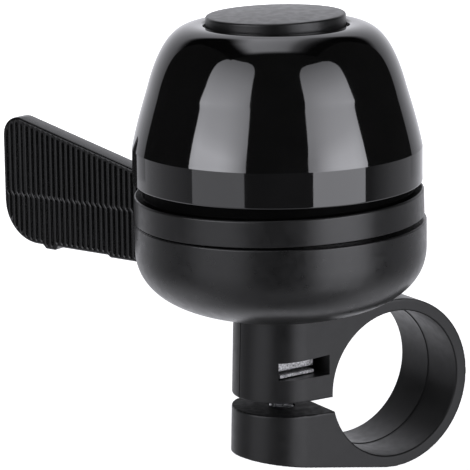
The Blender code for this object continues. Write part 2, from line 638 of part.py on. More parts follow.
def make_lower_bowl(window):
    """Moulded bowl that holds the mechanism plate on its ledge."""
    lip = arc(BOWL_RADIUS - LIP_ROUNDING, BOWL_TOP - LIP_ROUNDING, LIP_ROUNDING, math.pi / 2, 0,
              EDGE_ARC_STEPS)
    profile = lip + bowl_bottom_curve()
    profile += [(STUD_HOLE_RADIUS, BOWL_BOTTOM), (STUD_HOLE_RADIUS, BOWL_FLOOR),
                (BOWL_FLOOR_RADIUS, BOWL_FLOOR), (LEDGE_INNER_RADIUS, BOWL_FLOOR + BOWL_COVE),
                (LEDGE_INNER_RADIUS, LEDGE_Z), (PLATE_SEAT_RADIUS, LEDGE_Z),
                (PLATE_SEAT_RADIUS, PLATE_TOP), (BOWL_INNER_RADIUS, BOWL_CURVE_TOP),
                (BOWL_INNER_RADIUS, BOWL_TOP)]
    bowl = turned("lower_bowl", profile, MATT_BLACK, FINE_STEPS)
    saddle = turned("saddle_cutter", [(0, BOWL_RADIUS), (RING_RADIUS + CONTACT_GAP, BOWL_RADIUS),
                                      (RING_RADIUS + CONTACT_GAP, -BOWL_RADIUS), (0, -BOWL_RADIUS)],
                    steps=FINE_STEPS, closed=False, centre=(0, 0, 0), axis="Y")
    combine(bowl, saddle, "DIFFERENCE")
    combine(bowl, window, "DIFFERENCE")
    for number, angle in enumerate(POST_ANGLES, 1):
        hole = rod(f"ledge_hole_cutter_{number}", POST_SHANK_RADIUS + CONTACT_GAP,
                   LEDGE_Z - POST_SHANK_DEPTH - CONTACT_GAP, LEDGE_Z + CUT_OVERRUN,
                   centre=polar(POST_CIRCLE, angle))
        combine(bowl, hole, "DIFFERENCE")


def make_mechanism_cover(window):
    """Ring above the seam, with the collar and deck that close the mechanism in under the dome."""
    inner = COVER_RADIUS - COVER_WALL
    spigot_outer = BOWL_INNER_RADIUS - CONTACT_GAP
    spigot_inner = spigot_outer - SPIGOT_WALL
    hole = ROTOR_TUBE_RADIUS + ROTOR_DECK_CLEARANCE
    shoulder = arc(COVER_RADIUS - LIP_ROUNDING, COVER_BAND_TOP - LIP_ROUNDING, LIP_ROUNDING,
                   math.pi / 2, 0, EDGE_ARC_STEPS)
    collar_edge = arc(COLLAR_RADIUS - LIP_ROUNDING, COVER_DECK_TOP - LIP_ROUNDING, LIP_ROUNDING,
                      math.pi / 2, 0, EDGE_ARC_STEPS)
    profile = [(hole, COVER_DECK_TOP)] + collar_edge + [(COLLAR_RADIUS, COVER_BAND_TOP)] + shoulder
    profile += [(COVER_RADIUS, COVER_BOTTOM), (spigot_outer, COVER_BOTTOM),
                (spigot_outer, COVER_BOTTOM - SPIGOT_HEIGHT), (spigot_inner, COVER_BOTTOM - SPIGOT_HEIGHT),
                (spigot_inner, COVER_BOTTOM + SPIGOT_WALL), (inner, COVER_BOTTOM + 2 * SPIGOT_WALL),
                (inner, COVER_BAND_TOP - COVER_WALL), (COLLAR_INNER_RADIUS, COVER_BAND_TOP - COVER_WALL),
                (COLLAR_INNER_RADIUS, COVER_DECK_BOTTOM), (hole, COVER_DECK_BOTTOM)]
    cover = turned("mechanism_cover", profile, MATT_BLACK, FINE_STEPS)
    combine(cover, window, "DIFFERENCE")
    shank = COVER_SCREW_RADIUS + CONTACT_GAP
    sink = COVER_SCREW_HEAD_RADIUS + CONTACT_GAP
    cone_depth = COVER_SCREW_HEAD_RADIUS - COVER_SCREW_RADIUS
    above = COVER_DECK_TOP + CUT_OVERRUN
    below = COVER_DECK_BOTTOM - CUT_OVERRUN
    for number, angle in enumerate(POST_ANGLES, 1):
        profile = [(0, above), (sink, above), (sink, COVER_DECK_TOP), (shank, COVER_DECK_TOP - cone_depth),
                   (shank, below), (0, below)]
        countersink = turned(f"countersink_cutter_{number}", profile, closed=False,
                             centre=polar(POST_CIRCLE, angle))
        combine(cover, countersink, "DIFFERENCE")


def dome_profile():
    """Outer surface of the dome from the stud's hole in the dish out and down to the rim."""
    recess = CAP_RADIUS + CROWN_RECESS_MARGIN
    dish = [(STUD_HOLE_RADIUS, DISH_FLOOR), (DISH_RADIUS, DISH_FLOOR), (DISH_RADIUS, CROWN_FLOOR),
            (recess, CROWN_FLOOR), (recess, DOME_TOP)]
    return dish + shoulder_curve() + [(DOME_RADIUS, DOME_CREASE_Z), (DOME_RADIUS, DOME_RIM_Z)]


def shoulder_curve():
    """Smooth turn from the dome's flat crown edge into its tapering side, as a cubic curve."""
    start_z = DOME_RIM_Z + DOME_SHOULDER_LIFT
    rise = DOME_TOP - start_z
    start = Vector((DOME_RADIUS - (start_z - DOME_CREASE_Z) * math.tan(DOME_TAPER), start_z))
    end = Vector((CROWN_RADIUS, DOME_TOP))
    start_pull = start + Vector((-math.tan(DOME_TAPER), 1)) * DOME_SIDE_HOLD * rise
    end_pull = end + Vector((DOME_CROWN_HOLD * (DOME_RADIUS - CROWN_RADIUS), 0))
    points = []
    for i in range(SHOULDER_ARC_STEPS + 1):
        along = i / SHOULDER_ARC_STEPS
        back = 1 - along
        point = (back ** 3 * end + 3 * back ** 2 * along * end_pull
                 + 3 * back * along ** 2 * start_pull + along ** 3 * start)
        points.append(tuple(point))
    return points


def make_dome():
    """Pressed metal dome, open below, with a dish in its crown for the nut."""
    dome = turned("dome", dome_profile(), GLOSS_BLACK, FINE_STEPS, closed=False)
    shell = dome.modifiers.new("wall", "SOLIDIFY")
    shell.thickness = DOME_WALL
    shell.offset = -1
    shell.use_even_offset = True


def make_dome_cap():
    """Press-in cap: a shallow disc with a collar that plugs into the dome's dish."""
    collar_outer = DISH_RADIUS - CONTACT_GAP
    collar_inner = collar_outer - CAP_COLLAR_WALL
    collar_bottom = DISH_FLOOR + CAP_COLLAR_REACH
    edge = CAP_RADIUS - CAP_EDGE
    crown = []
    for i in range(EDGE_ARC_STEPS + 1):
        share = i / EDGE_ARC_STEPS
        crown.append((edge * share, CAP_TOP - CAP_CROWN * share ** 2))
    profile = crown + [(CAP_RADIUS, CAP_TOP - CAP_CROWN - CAP_EDGE), (CAP_RADIUS, CAP_BOTTOM),
                       (collar_outer, CAP_BOTTOM), (collar_outer, collar_bottom),
                       (collar_inner, collar_bottom), (collar_inner, CAP_UNDERSIDE), (0, CAP_UNDERSIDE)]
    turned("dome_cap", profile, MATT_BLACK, FINE_STEPS, closed=False)


# ---------------------------------------------------------------------------------------------
# Centre stud and its stack
# ---------------------------------------------------------------------------------------------
def make_nut(name, bottom, thickness):
    """Hexagon nut on the centre stud."""
    mesh = bpy.data.meshes.new(name)
    bm = bmesh.new()
    corner = NUT_ACROSS_FLATS / 2 / math.cos(math.pi / 6)
    bmesh.ops.create_cone(bm, cap_ends=True, segments=6, radius1=corner, radius2=corner, depth=thickness)
    bmesh.ops.translate(bm, vec=(0, 0, bottom + thickness / 2), verts=bm.verts)
    bm.to_mesh(mesh)
    bm.free()
    nut = place(name, mesh, ZINC)
    nut.location = BELL_AXIS
    thread = rod(name + "_thread_cutter", STUD_HOLE_RADIUS, bottom - CUT_OVERRUN,
                 bottom + thickness + CUT_OVERRUN)
    combine(nut, thread, "DIFFERENCE")


def make_stud_stack():
    """Stud and everything that is held on it, from the bowl's floor up to the cap."""
    rod("centre_stud", STUD_RADIUS, STUD_BOTTOM, STUD_TOP, ZINC)
    tube("base_washer", STUD_HOLE_RADIUS, WASHER_RADIUS, BASE_WASHER_Z, BASE_WASHER_Z + WASHER_THICKNESS, ZINC)
    make_nut("base_nut", BASE_NUT_Z, BASE_NUT_THICKNESS)
    tube("rotor_spacer", STUD_HOLE_RADIUS, STUD_HOLE_RADIUS + ROTOR_SPACER_WALL, MECHANISM_Z,
         ROTOR_Z - CONTACT_GAP, BRASS)
    tube("rotor_clip", STUD_HOLE_RADIUS, STUD_HOLE_RADIUS + CLIP_WIDTH, CLIP_Z, CLIP_Z + CLIP_THICKNESS, STEEL)
    tube("dome_spacer", STUD_HOLE_RADIUS, STUD_HOLE_RADIUS + SPACER_WALL, SPACER_Z, SPACER_TOP, ZINC)
    tube("dome_washer", STUD_HOLE_RADIUS, WASHER_RADIUS, DOME_WASHER_Z, DOME_WASHER_Z + WASHER_THICKNESS, ZINC)
    make_nut("dome_nut", DOME_NUT_Z, DOME_NUT_THICKNESS)


# ---------------------------------------------------------------------------------------------
# Plate, posts, pins and screws
# ---------------------------------------------------------------------------------------------
def spring_post_place():
    """The fixed post beside the pivot that holds the spring's upper leg back."""
    angle = LEVER_ANGLE - SPRING_POST_TURN
    return PIVOT + Vector((math.cos(angle), math.sin(angle), 0)) * SPRING_POST_REACH


def make_mechanism_plate():
    """Steel plate that carries every pin of the mechanism."""
    plate = tube("mechanism_plate", STUD_HOLE_RADIUS, PLATE_RADIUS, PLATE_BOTTOM, PLATE_TOP, STEEL,
                 steps=FINE_STEPS)
    holes = [("lever_pin", PIVOT, LEVER_PIN_RADIUS), ("idler_pin", IDLER_AXIS, IDLER_PIN_RADIUS),
             ("spring_post", spring_post_place(), SPRING_POST_RADIUS)]
    for number, angle in enumerate(POST_ANGLES, 1):
        holes.append((f"cover_post_{number}", polar(POST_CIRCLE, angle), POST_SHANK_RADIUS))
    for label, centre, radius in holes:
        cutter = rod(label + "_hole_cutter", radius + CONTACT_GAP, PLATE_BOTTOM - CUT_OVERRUN,
                     PLATE_TOP + CUT_OVERRUN, centre=centre)
        combine(plate, cutter, "DIFFERENCE")


def make_pins():
    """Pivot pin of the lever, pin and clip of the idler gear, and the spring's post."""
    rod("lever_pivot_pin", LEVER_PIN_RADIUS, PLATE_BOTTOM, PIN_TOP, STEEL, centre=PIVOT)
    clip_z = IDLER_TOP + CONTACT_GAP
    clip_top = clip_z + CLIP_THICKNESS
    rod("idler_pin", IDLER_PIN_RADIUS, PLATE_BOTTOM, clip_top + CONTACT_GAP, STEEL, centre=IDLER_AXIS)
    tube("idler_clip", IDLER_PIN_RADIUS + CONTACT_GAP, IDLER_HUB_RADIUS, clip_z, clip_top, STEEL,
         centre=IDLER_AXIS)
    rod("spring_post", SPRING_POST_RADIUS, PLATE_BOTTOM, PIN_TOP, STEEL, centre=spring_post_place())


def make_cover_fasteners():
    """Threaded posts between plate and deck, and the countersunk screws that hold the cover down."""
    shank = COVER_SCREW_RADIUS
    hole = COVER_SCREW_RADIUS + CONTACT_GAP
    head_top = COVER_DECK_TOP - CONTACT_GAP
    cone_depth = COVER_SCREW_HEAD_RADIUS - COVER_SCREW_RADIUS
    screw_tip = head_top - COVER_SCREW_LENGTH
    for number, angle in enumerate(POST_ANGLES, 1):
        centre = polar(POST_CIRCLE, angle)
        turned(f"cover_post_{number}",
               [(0, screw_tip - CONTACT_GAP), (hole, screw_tip - CONTACT_GAP), (hole, PIN_TOP),
                (POST_RADIUS, PIN_TOP), (POST_RADIUS, MECHANISM_Z), (POST_SHANK_RADIUS, MECHANISM_Z),
                (POST_SHANK_RADIUS, LEDGE_Z - POST_SHANK_DEPTH), (0, LEDGE_Z - POST_SHANK_DEPTH)],
               BRASS, closed=False, centre=centre)
        turned(f"cover_screw_{number}",
               [(0, head_top), (COVER_SCREW_HEAD_RADIUS, head_top), (shank, head_top - cone_depth),
                (shank, screw_tip), (0, screw_tip)], ZINC, closed=False, centre=centre)


# ---------------------------------------------------------------------------------------------
# Gears
# ---------------------------------------------------------------------------------------------
def involute(angle):
    """Involute function of a pressure angle."""
    return math.tan(angle) - angle


def tooth(teeth):
    """One tooth about angle 0: (radius, half angle) pairs from root to tip."""
    pitch = teeth * GEAR_MODULE / 2
    base = pitch * math.cos(PRESSURE_ANGLE)
    root = pitch - TOOTH_DEPTH * GEAR_MODULE
    tip = pitch + TOOTH_HEIGHT * GEAR_MODULE
    half_at_pitch = math.pi / 2 / teeth - BACKLASH / 2 / pitch
    flank = []
    for radius in (root, pitch, tip):
        pressure = math.acos(min(1.0, base / radius))
        flank.append((radius, half_at_pitch + involute(PRESSURE_ANGLE) - involute(pressure)))
    return flank


def tooth_points(teeth, centre_angle):
    """Outline of one tooth, counter-clockwise."""
    flank = tooth(teeth)
    sides = [(radius, -half) for radius, half in flank] + [(radius, half) for radius, half in reversed(flank)]
    return [(radius * math.cos(centre_angle + side), radius * math.sin(centre_angle + side))
            for radius, side in sides]


def gear_outline(teeth, first_tooth):
    """Outline of a whole gear with one tooth at the given angle."""
    outline = []
    for number in range(teeth):
        outline += tooth_points(teeth, first_tooth + 2 * math.pi * number / teeth)
    return outline


def make_idler_gear():
    """Compound gear: the small pinion meets the lever's sector, the large gear drives the rotor."""
    pitch_gap = math.pi / IDLER_PINION_TEETH
    gear = flat("idler_gear", [gear_outline(IDLER_GEAR_TEETH, IDLER_HEADING)], IDLER_GEAR_Z, IDLER_GEAR_TOP,
                NYLON, centre=IDLER_AXIS)
    pinion = flat("idler_pinion", [gear_outline(IDLER_PINION_TEETH, SECTOR_HEADING + math.pi + pitch_gap)],
                  MECHANISM_Z, IDLER_GEAR_Z + UNION_OVERLAP, centre=IDLER_AXIS)
    hub = rod("idler_hub", IDLER_HUB_RADIUS, IDLER_GEAR_TOP - UNION_OVERLAP, IDLER_TOP, centre=IDLER_AXIS)
    bore = rod("idler_bore_cutter", IDLER_PIN_RADIUS + CONTACT_GAP, PLATE_TOP, IDLER_TOP + CUT_OVERRUN,
               centre=IDLER_AXIS)
    combine(gear, pinion, "UNION")
    combine(gear, hub, "UNION")
    combine(gear, bore, "DIFFERENCE")


def make_rotor():
    """Pinion, sleeve and two-armed bar that whirls the clappers round inside the dome."""
    pitch_gap = math.pi / ROTOR_TEETH
    rotor = flat("rotor", [gear_outline(ROTOR_TEETH, IDLER_HEADING + math.pi + pitch_gap)], ROTOR_Z,
                 ROTOR_PINION_TOP, BRASS)
    sleeve = rod("rotor_sleeve", ROTOR_TUBE_RADIUS, ROTOR_PINION_TOP - UNION_OVERLAP, ROTOR_TOP)
    half = ARM_WIDTH / 2
    bar_outline = arc(CLAPPER_CIRCLE, 0, half, -math.pi / 2, math.pi / 2, BAR_ARC_STEPS)
    bar_outline += arc(-CLAPPER_CIRCLE, 0, half, math.pi / 2, 1.5 * math.pi, BAR_ARC_STEPS)
    holes = [arc(side * CLAPPER_CIRCLE, 0, CLAPPER_PIN_RADIUS + CONTACT_GAP, 0, 2 * math.pi, SMALL_STEPS)[:-1]
             for side in (1, -1)]
    bar = flat("rotor_bar", [bar_outline] + holes, ARM_Z, ARM_TOP)
    bore = rod("rotor_bore_cutter", ROTOR_BORE, ROTOR_Z - CUT_OVERRUN, ROTOR_TOP + CUT_OVERRUN)
    combine(rotor, sleeve, "UNION")
    combine(rotor, bar, "UNION")
    combine(rotor, bore, "DIFFERENCE")


def make_clappers():
    """Loose steel washers and the headed pins that drag them round."""
    pin_top = CLAPPER_Z + CLAPPER_THICKNESS + RUN_GAP
    for number, side in enumerate((1, -1), 1):
        centre = BELL_AXIS + Vector((side * CLAPPER_CIRCLE, 0, 0))
        tube(f"clapper_{number}", CLAPPER_BORE, CLAPPER_RADIUS, CLAPPER_Z, CLAPPER_Z + CLAPPER_THICKNESS,
             STEEL, centre=centre, steps=MEDIUM_STEPS)
        turned(f"clapper_pin_{number}",
               [(0, pin_top + CLAPPER_HEAD_THICKNESS), (CLAPPER_HEAD_RADIUS, pin_top + CLAPPER_HEAD_THICKNESS),
                (CLAPPER_HEAD_RADIUS, pin_top), (CLAPPER_PIN_RADIUS, pin_top),
                (CLAPPER_PIN_RADIUS, ARM_Z), (0, ARM_Z)], ZINC, closed=False, centre=centre)


# ---------------------------------------------------------------------------------------------
# Thumb lever and its spring
# ---------------------------------------------------------------------------------------------
def paddle_outline():
    """Side view of the paddle, as (distance from the pivot, height) points."""
    step = PADDLE_START + PADDLE_STEP
    boss = PADDLE_TIP - PADDLE_BOSS
    top_at_tip = PADDLE_ROOT_TOP + PADDLE_LENGTH * math.tan(PADDLE_RISE)
    root = PADDLE_BOTTOM - PADDLE_ROOT_DROP
    boss_low = PADDLE_BOTTOM - PADDLE_BOSS_DROP
    half = PADDLE_BOSS_RADIUS
    corners = [(PADDLE_START, root), (step, root), (step + PADDLE_ROOT_DROP, PADDLE_BOTTOM),
               (boss - half, PADDLE_BOTTOM), (boss - half / 2, boss_low), (boss + half / 2, boss_low),
               (boss + half, PADDLE_BOTTOM), (PADDLE_TIP, PADDLE_BOTTOM), (PADDLE_TIP, top_at_tip),
               (PADDLE_START, PADDLE_ROOT_TOP)]
    radii = [0, 0, 0, 0, 0, 0, 0, PADDLE_LOWER_CORNER, PADDLE_TOP_CORNER, 0]
    return rounded(corners, radii)


def sector_outline():
    """Toothed sector on the inner end of the lever, as a fan that reaches into the hub."""
    pitch_angle = 2 * math.pi / SECTOR_TEETH
    first = -math.ceil(SECTOR_MARGIN / pitch_angle)
    last = math.ceil((LEVER_TRAVEL + SECTOR_MARGIN) / pitch_angle)
    outline = []
    for number in range(first, last + 1):
        outline += tooth_points(SECTOR_TEETH, SECTOR_HEADING + number * pitch_angle)
    for number in (last, first):
        angle = SECTOR_HEADING + number * pitch_angle
        outline.append((SECTOR_INNER_RADIUS * math.cos(angle), SECTOR_INNER_RADIUS * math.sin(angle)))
    return outline


def make_thumb_lever():
    """Paddle, neck, hub and toothed sector in one moulding, on the pivot pin."""
    half = LEVER_THICKNESS / 2
    lever = flat("thumb_lever", [paddle_outline()], -half, half, MATT_BLACK, centre=(0, 0, 0), side=True)
    lever.data.transform(Matrix.Rotation(LEVER_ANGLE, 4, "Z"))
    lever.location = PIVOT
    neck_end = PADDLE_START + UNION_OVERLAP
    neck_outline = [(NECK_ROOT, -half), (neck_end, -half), (neck_end, half), (NECK_ROOT, half)]
    neck = flat("lever_neck", [rotate_outline(neck_outline, LEVER_ANGLE)], NECK_BOTTOM, NECK_TOP, centre=PIVOT)
    hub = rod("lever_hub", LEVER_HUB_RADIUS, MECHANISM_Z, HUB_TOP, centre=PIVOT, steps=MEDIUM_STEPS)
    sector = flat("lever_sector", [sector_outline()], SECTOR_Z, SECTOR_TOP, centre=PIVOT)
    bore = rod("lever_bore_cutter", LEVER_HUB_BORE, PLATE_TOP, HUB_TOP + CUT_OVERRUN, centre=PIVOT)
    for piece in (neck, hub, sector):
        combine(lever, piece, "UNION")
    combine(lever, bore, "DIFFERENCE")


def spring_path():
    """Centre line of the torsion spring: a leg down the neck's side, the coil and a straight upper leg."""
    neck_clear = LEVER_THICKNESS / 2 + SPRING_WIRE_RADIUS + CONTACT_GAP
    post_clear = SPRING_POST_RADIUS + SPRING_WIRE_RADIUS + CONTACT_GAP
    post = spring_post_place() - PIVOT
    start = LEVER_ANGLE - math.asin(neck_clear / SPRING_RADIUS)
    leg_turn = math.acos((SPRING_RADIUS + post_clear) / post.length)
    end = math.atan2(post.y, post.x) - leg_turn
    turn = (end - start) % (2 * math.pi) + 2 * math.pi * (SPRING_TURNS - 1)
    count = math.ceil(turn / SPRING_STEP)
    points = [Vector((SPRING_RADIUS * math.cos(start), SPRING_RADIUS * math.sin(start),
                      NECK_TOP - SPRING_FOOT))]
    for i in range(count + 1):
        angle = start + turn * i / count
        points.append(Vector((SPRING_RADIUS * math.cos(angle), SPRING_RADIUS * math.sin(angle),
                              SPRING_Z + (SPRING_TOP - SPRING_Z) * i / count)))
    leg = post.length * math.sin(leg_turn) + SPRING_POST_RADIUS + SPRING_WIRE_RADIUS
    points.append(points[-1] + Vector((-math.sin(end), math.cos(end), 0)) * leg)
    return points


def make_lever_spring():
    """Torsion spring round the lever's hub."""
    points = spring_path()
    curve = bpy.data.curves.new("lever_spring", "CURVE")
    curve.dimensions = "3D"
    curve.bevel_depth = SPRING_WIRE_RADIUS
    curve.bevel_resolution = 2
    curve.use_fill_caps = True
    spline = curve.splines.new("POLY")
    spline.points.add(len(points) - 1)
    for point, place_at in zip(spline.points, points):
        point.co = (*place_at, 1)
    spring = bpy.data.objects.new("lever_spring", curve)
    curve.materials.append(new_material("lever_spring", *STEEL))
    BELL.objects.link(spring)
    spring.location = PIVOT


def build():
    """Make every piece of the bell."""
    make_handlebar_clamp()
    make_clamp_fasteners()
    window = window_cutter()
    make_lower_bowl(window)
    make_mechanism_cover(window)
    make_dome()
    make_dome_cap()
    make_stud_stack()
    make_mechanism_plate()
    make_pins()
    make_cover_fasteners()
    make_idler_gear()
    make_rotor()
    make_clappers()
    make_thumb_lever()
    make_lever_spring()


build()
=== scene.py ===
"""Studio scene of the bicycle bell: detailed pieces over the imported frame, finishes, soft light and camera.

Lengths in the numbers below are in millimetres and are turned into metres where a mesh is made.
"""
import math

import bmesh
import bpy
import numpy as np
from mathutils import Matrix, Vector


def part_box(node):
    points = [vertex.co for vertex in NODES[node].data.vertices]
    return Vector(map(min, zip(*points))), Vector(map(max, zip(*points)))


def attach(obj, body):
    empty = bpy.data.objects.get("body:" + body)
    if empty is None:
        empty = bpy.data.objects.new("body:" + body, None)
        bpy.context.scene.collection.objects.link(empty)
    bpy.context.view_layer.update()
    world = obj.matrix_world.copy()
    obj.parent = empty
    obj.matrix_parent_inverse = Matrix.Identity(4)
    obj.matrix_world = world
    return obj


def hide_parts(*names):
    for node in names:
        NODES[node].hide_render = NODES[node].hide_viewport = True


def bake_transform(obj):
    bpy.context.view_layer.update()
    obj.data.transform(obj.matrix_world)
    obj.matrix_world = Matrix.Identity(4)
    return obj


MM = 0.001

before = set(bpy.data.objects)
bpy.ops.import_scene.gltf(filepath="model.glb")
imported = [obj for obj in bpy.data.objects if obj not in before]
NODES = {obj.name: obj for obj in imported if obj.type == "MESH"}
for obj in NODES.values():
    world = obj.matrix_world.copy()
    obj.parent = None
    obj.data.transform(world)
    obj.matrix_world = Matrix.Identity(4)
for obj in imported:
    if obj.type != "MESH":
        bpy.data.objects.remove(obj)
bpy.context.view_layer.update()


def span(node):
    """Lowest and highest corner of a CAD node, in millimetres."""
    low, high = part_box(node)
    return low / MM, high / MM


def middle(node):
    """Middle of a CAD node seen from above, in millimetres."""
    low, high = span(node)
    return Vector(((low.x + high.x) / 2, (low.y + high.y) / 2))


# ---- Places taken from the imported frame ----
AXIS = middle("dome")
DOME_LOW, DOME_HIGH = span("dome")
CAP_LOW, CAP_HIGH = span("dome_cap")
COVER_LOW, COVER_HIGH = span("mechanism_cover")
BOWL_LOW, BOWL_HIGH = span("lower_bowl")
CLAMP_LOW, CLAMP_HIGH = span("handlebar_clamp")
PIVOT = middle("lever_pivot_pin")
NUT_LOW, NUT_HIGH = span("clamp_nut")
NUT_PLATE_LOW, NUT_PLATE_HIGH = span("nut_plate")
SCREW_LOW, SCREW_HIGH = span("clamp_screw")

# how far each large piece sits off the axis, along the camera's right as seen from above
CAMERA_RIGHT = Vector((0.855, -0.519))
DOME_PLAY = CAMERA_RIGHT * -0.30
CAP_PLAY = CAMERA_RIGHT * 0.20
COVER_PLAY = CAMERA_RIGHT * -0.06
BOWL_PLAY = CAMERA_RIGHT * 0.06

# how each leans: degrees, place of the turning point along the camera's right, and lift
LEAN_HEIGHT = 26.0
CAP_LEAN = (1.1, 0, -0.04)
COVER_LEAN = (1.3, -4.2, 0.15)
BOWL_LEAN = (0.4, 0, 0.2)

# the way the lever points at rest, and how far it swings from there
LEVER_HEADING = math.radians(112)
LEVER_TRAVEL = math.radians(35)


# ---- Materials ----
NOISE_SPREAD = (0.3, 0.7)  # nearly all of the fractal noise lies between these


class Shader:
    """A Principled material that is put together from a few noise layers in object space."""

    def __init__(self, name, **values):
        self.material = bpy.data.materials.new(name)
        self.material.use_nodes = True
        self.tree = self.material.node_tree
        self.link = self.tree.links.new
        self.bsdf = self.tree.nodes["Principled BSDF"]
        for label, value in values.items():
            self.bsdf.inputs[label.replace("_", " ")].default_value = value
        self.place = self.add("ShaderNodeTexCoord").outputs["Object"]
        self.bump = None

    def add(self, kind, **settings):
        """A node with the given settings."""
        node = self.tree.nodes.new(kind)
        for label, value in settings.items():
            setattr(node, label, value)
        return node

    def noise(self, size, detail=3.0, stretch=(1, 1, 1), rough=0.5):
        """Fractal noise with features of about the given size in millimetres."""
        mapping = self.add("ShaderNodeMapping")
        mapping.inputs["Scale"].default_value = stretch
        self.link(self.place, mapping.inputs["Vector"])
        node = self.add("ShaderNodeTexNoise")
        node.inputs["Scale"].default_value = 1 / (size * MM)
        node.inputs["Detail"].default_value = detail
        node.inputs["Roughness"].default_value = rough
        self.link(mapping.outputs["Vector"], node.inputs["Vector"])
        return node.outputs["Fac"]

    def colours(self, fac, *stops):
        """Base colour through a ramp of two (position, grey or colour) stops."""
        ramp = self.add("ShaderNodeValToRGB")
        for element, (position, colour) in zip(ramp.color_ramp.elements, stops):
            colour = (colour,) * 3 if isinstance(colour, float) else colour
            element.position = position
            element.color = (*colour, 1)
        self.link(fac, ramp.inputs["Fac"])
        self.link(ramp.outputs["Color"], self.bsdf.inputs["Base Color"])

    def rough(self, fac, low, high):
        """Roughness that wanders between two values."""
        node = self.add("ShaderNodeMapRange", interpolation_type="SMOOTHSTEP")
        start, end = NOISE_SPREAD
        for label, value in (("From Min", start), ("From Max", end), ("To Min", low), ("To Max", high)):
            node.inputs[label].default_value = value
        self.link(fac, node.inputs["Value"])
        self.link(node.outputs["Result"], self.bsdf.inputs["Roughness"])

    def relief(self, fac, depth):
        """Adds a bump layer of the given depth in millimetres."""
        node = self.add("ShaderNodeBump")
        node.inputs["Strength"].default_value = 1.0
        node.inputs["Distance"].default_value = depth * MM
        self.link(fac, node.inputs["Height"])
        if self.bump:
            self.link(self.bump, node.inputs["Normal"])
        self.bump = node.outputs["Normal"]
        self.link(self.bump, self.bsdf.inputs["Normal"])


def gloss_paint():
    """Black gloss enamel on the pressed dome: deep, with faint orange peel."""
    s = Shader("gloss_black_enamel", IOR=1.9)
    s.colours(s.noise(6.0), (0.35, 0.0019), (0.65, 0.0029))
    s.rough(s.noise(2.5), 0.035, 0.055)
    s.relief(s.noise(1.6, 1.0), 0.0012)
    return s.material


def moulded(name, tone, sheen, grain, depth, ior, waves=0.004):
    """Black moulded plastic with a fine eroded grain, faint flow marks and uneven sheen.

    Tone and sheen are the ranges of its colour and roughness. Grain and depth are the width and the
    height of its texture, and waves is the height of the flow marks, in millimetres.
    """
    s = Shader(name, IOR=ior)
    dark, light = tone
    s.colours(s.noise(3.0, 5.0), (0.3, dark), (0.7, light))
    s.rough(s.noise(1.2, 4.0), *sheen)
    s.relief(s.noise(3.5, 2.0), waves)
    s.relief(s.noise(grain, 3.0, rough=0.7), depth)
    return s.material


def plated(name, dark, light, sheen, grain, depth, stretch=(1, 1, 1)):
    """Plated or bare metal with tool marks, drawn out along an axis by the stretch, and a patchy tone."""
    s = Shader(name, Metallic=1.0)
    s.colours(s.noise(grain * 5, 4.0), (0.3, dark), (0.7, light))
    s.rough(s.noise(grain * 2, 4.0, stretch), *sheen)
    s.relief(s.noise(grain, 4.0, stretch, 0.65), depth)
    return s.material


def nylon():
    """Natural moulded nylon of the idler gear."""
    s = Shader("nylon_natural", IOR=1.53, Subsurface_Weight=0.15, Subsurface_Scale=0.001)
    s.colours(s.noise(2.0), (0.3, (0.68, 0.65, 0.56)), (0.7, (0.78, 0.75, 0.67)))
    s.rough(s.noise(0.8), 0.38, 0.55)
    s.relief(s.noise(0.2), 0.006)
    return s.material


GLOSS = gloss_paint()
CAP_PLASTIC = moulded("cap_plastic", (0.006, 0.009), (0.31, 0.38), 0.16, 0.0006, 1.49, 0.0008)
BAND_PLASTIC = moulded("band_plastic", (0.0062, 0.0092), (0.28, 0.35), 0.16, 0.0010, 1.54)
# darker, duller plastic that paints the shade under the dome's rim on the cover's collar and ledge
COLLAR_SHADE_PLASTIC = moulded("collar_painted_shade_plastic", (0.0018, 0.0030), (0.45, 0.60), 0.16, 0.0026, 1.08)
BOWL_PLASTIC = moulded("bowl_plastic", (0.0048, 0.0075), (0.27, 0.34), 0.16, 0.0008, 1.56)
CLAMP_PLASTIC = moulded("clamp_plastic", (0.0070, 0.0105), (0.33, 0.41), 0.14, 0.0020, 1.455)
# darker, duller plastic that paints the shade on the flat faces inside the clamp's slit
SLIT_SHADE_PLASTIC = moulded("slit_painted_shade_plastic", (0.0060, 0.0090), (0.55, 0.70), 0.14, 0.0030, 1.25)
LEVER_PLASTIC = moulded("lever_plastic", (0.0010, 0.0018), (0.20, 0.29), 0.15, 0.0014, 1.49)
ZINC = plated("zinc_plate", (0.46, 0.46, 0.47), (0.66, 0.66, 0.68), (0.24, 0.42), 0.18, 0.010)
NUT_STEEL = plated("nut_steel", (0.12, 0.12, 0.12), (0.72, 0.72, 0.73), (0.36, 0.60), 0.06, 0.03)
STEEL = plated("bright_steel", (0.40, 0.41, 0.42), (0.56, 0.57, 0.58), (0.26, 0.40), 0.15, 0.006)
ROLLED = plated("rolled_steel", (0.42, 0.42, 0.43), (0.55, 0.55, 0.57), (0.28, 0.42), 0.3, 0.008, (1, 6, 1))
BRASS = plated("turned_brass", (0.62, 0.44, 0.20), (0.76, 0.57, 0.28), (0.22, 0.38), 0.14, 0.005, (1, 1, 8))
NYLON = nylon()

CARRIED_OVER = (
    (ZINC, ("centre_stud", "base_washer", "base_nut", "dome_spacer", "dome_washer", "dome_nut",
            "cover_screw_1", "cover_screw_2", "cover_screw_3", "clapper_pin_1", "clapper_pin_2")),
    (BRASS, ("rotor", "rotor_spacer", "cover_post_1", "cover_post_2", "cover_post_3")),
    (STEEL, ("rotor_clip", "idler_clip", "lever_pivot_pin", "idler_pin", "spring_post",
             "clapper_1", "clapper_2")),
    (ROLLED, ("mechanism_plate",)),
    (NYLON, ("idler_gear",)),
)


# ---- Mesh helpers ----
def mesh_of(name, points, faces):
    """A mesh from points in millimetres and faces, with its normals facing out."""
    mesh = bpy.data.meshes.new(name)
    mesh.from_pydata([tuple(float(v) * MM for v in point) for point in points], [], faces)
    bm = bmesh.new()
    bm.from_mesh(mesh)
    bmesh.ops.recalc_face_normals(bm, faces=bm.faces)
    bm.to_mesh(mesh)
    bm.free()
    return mesh


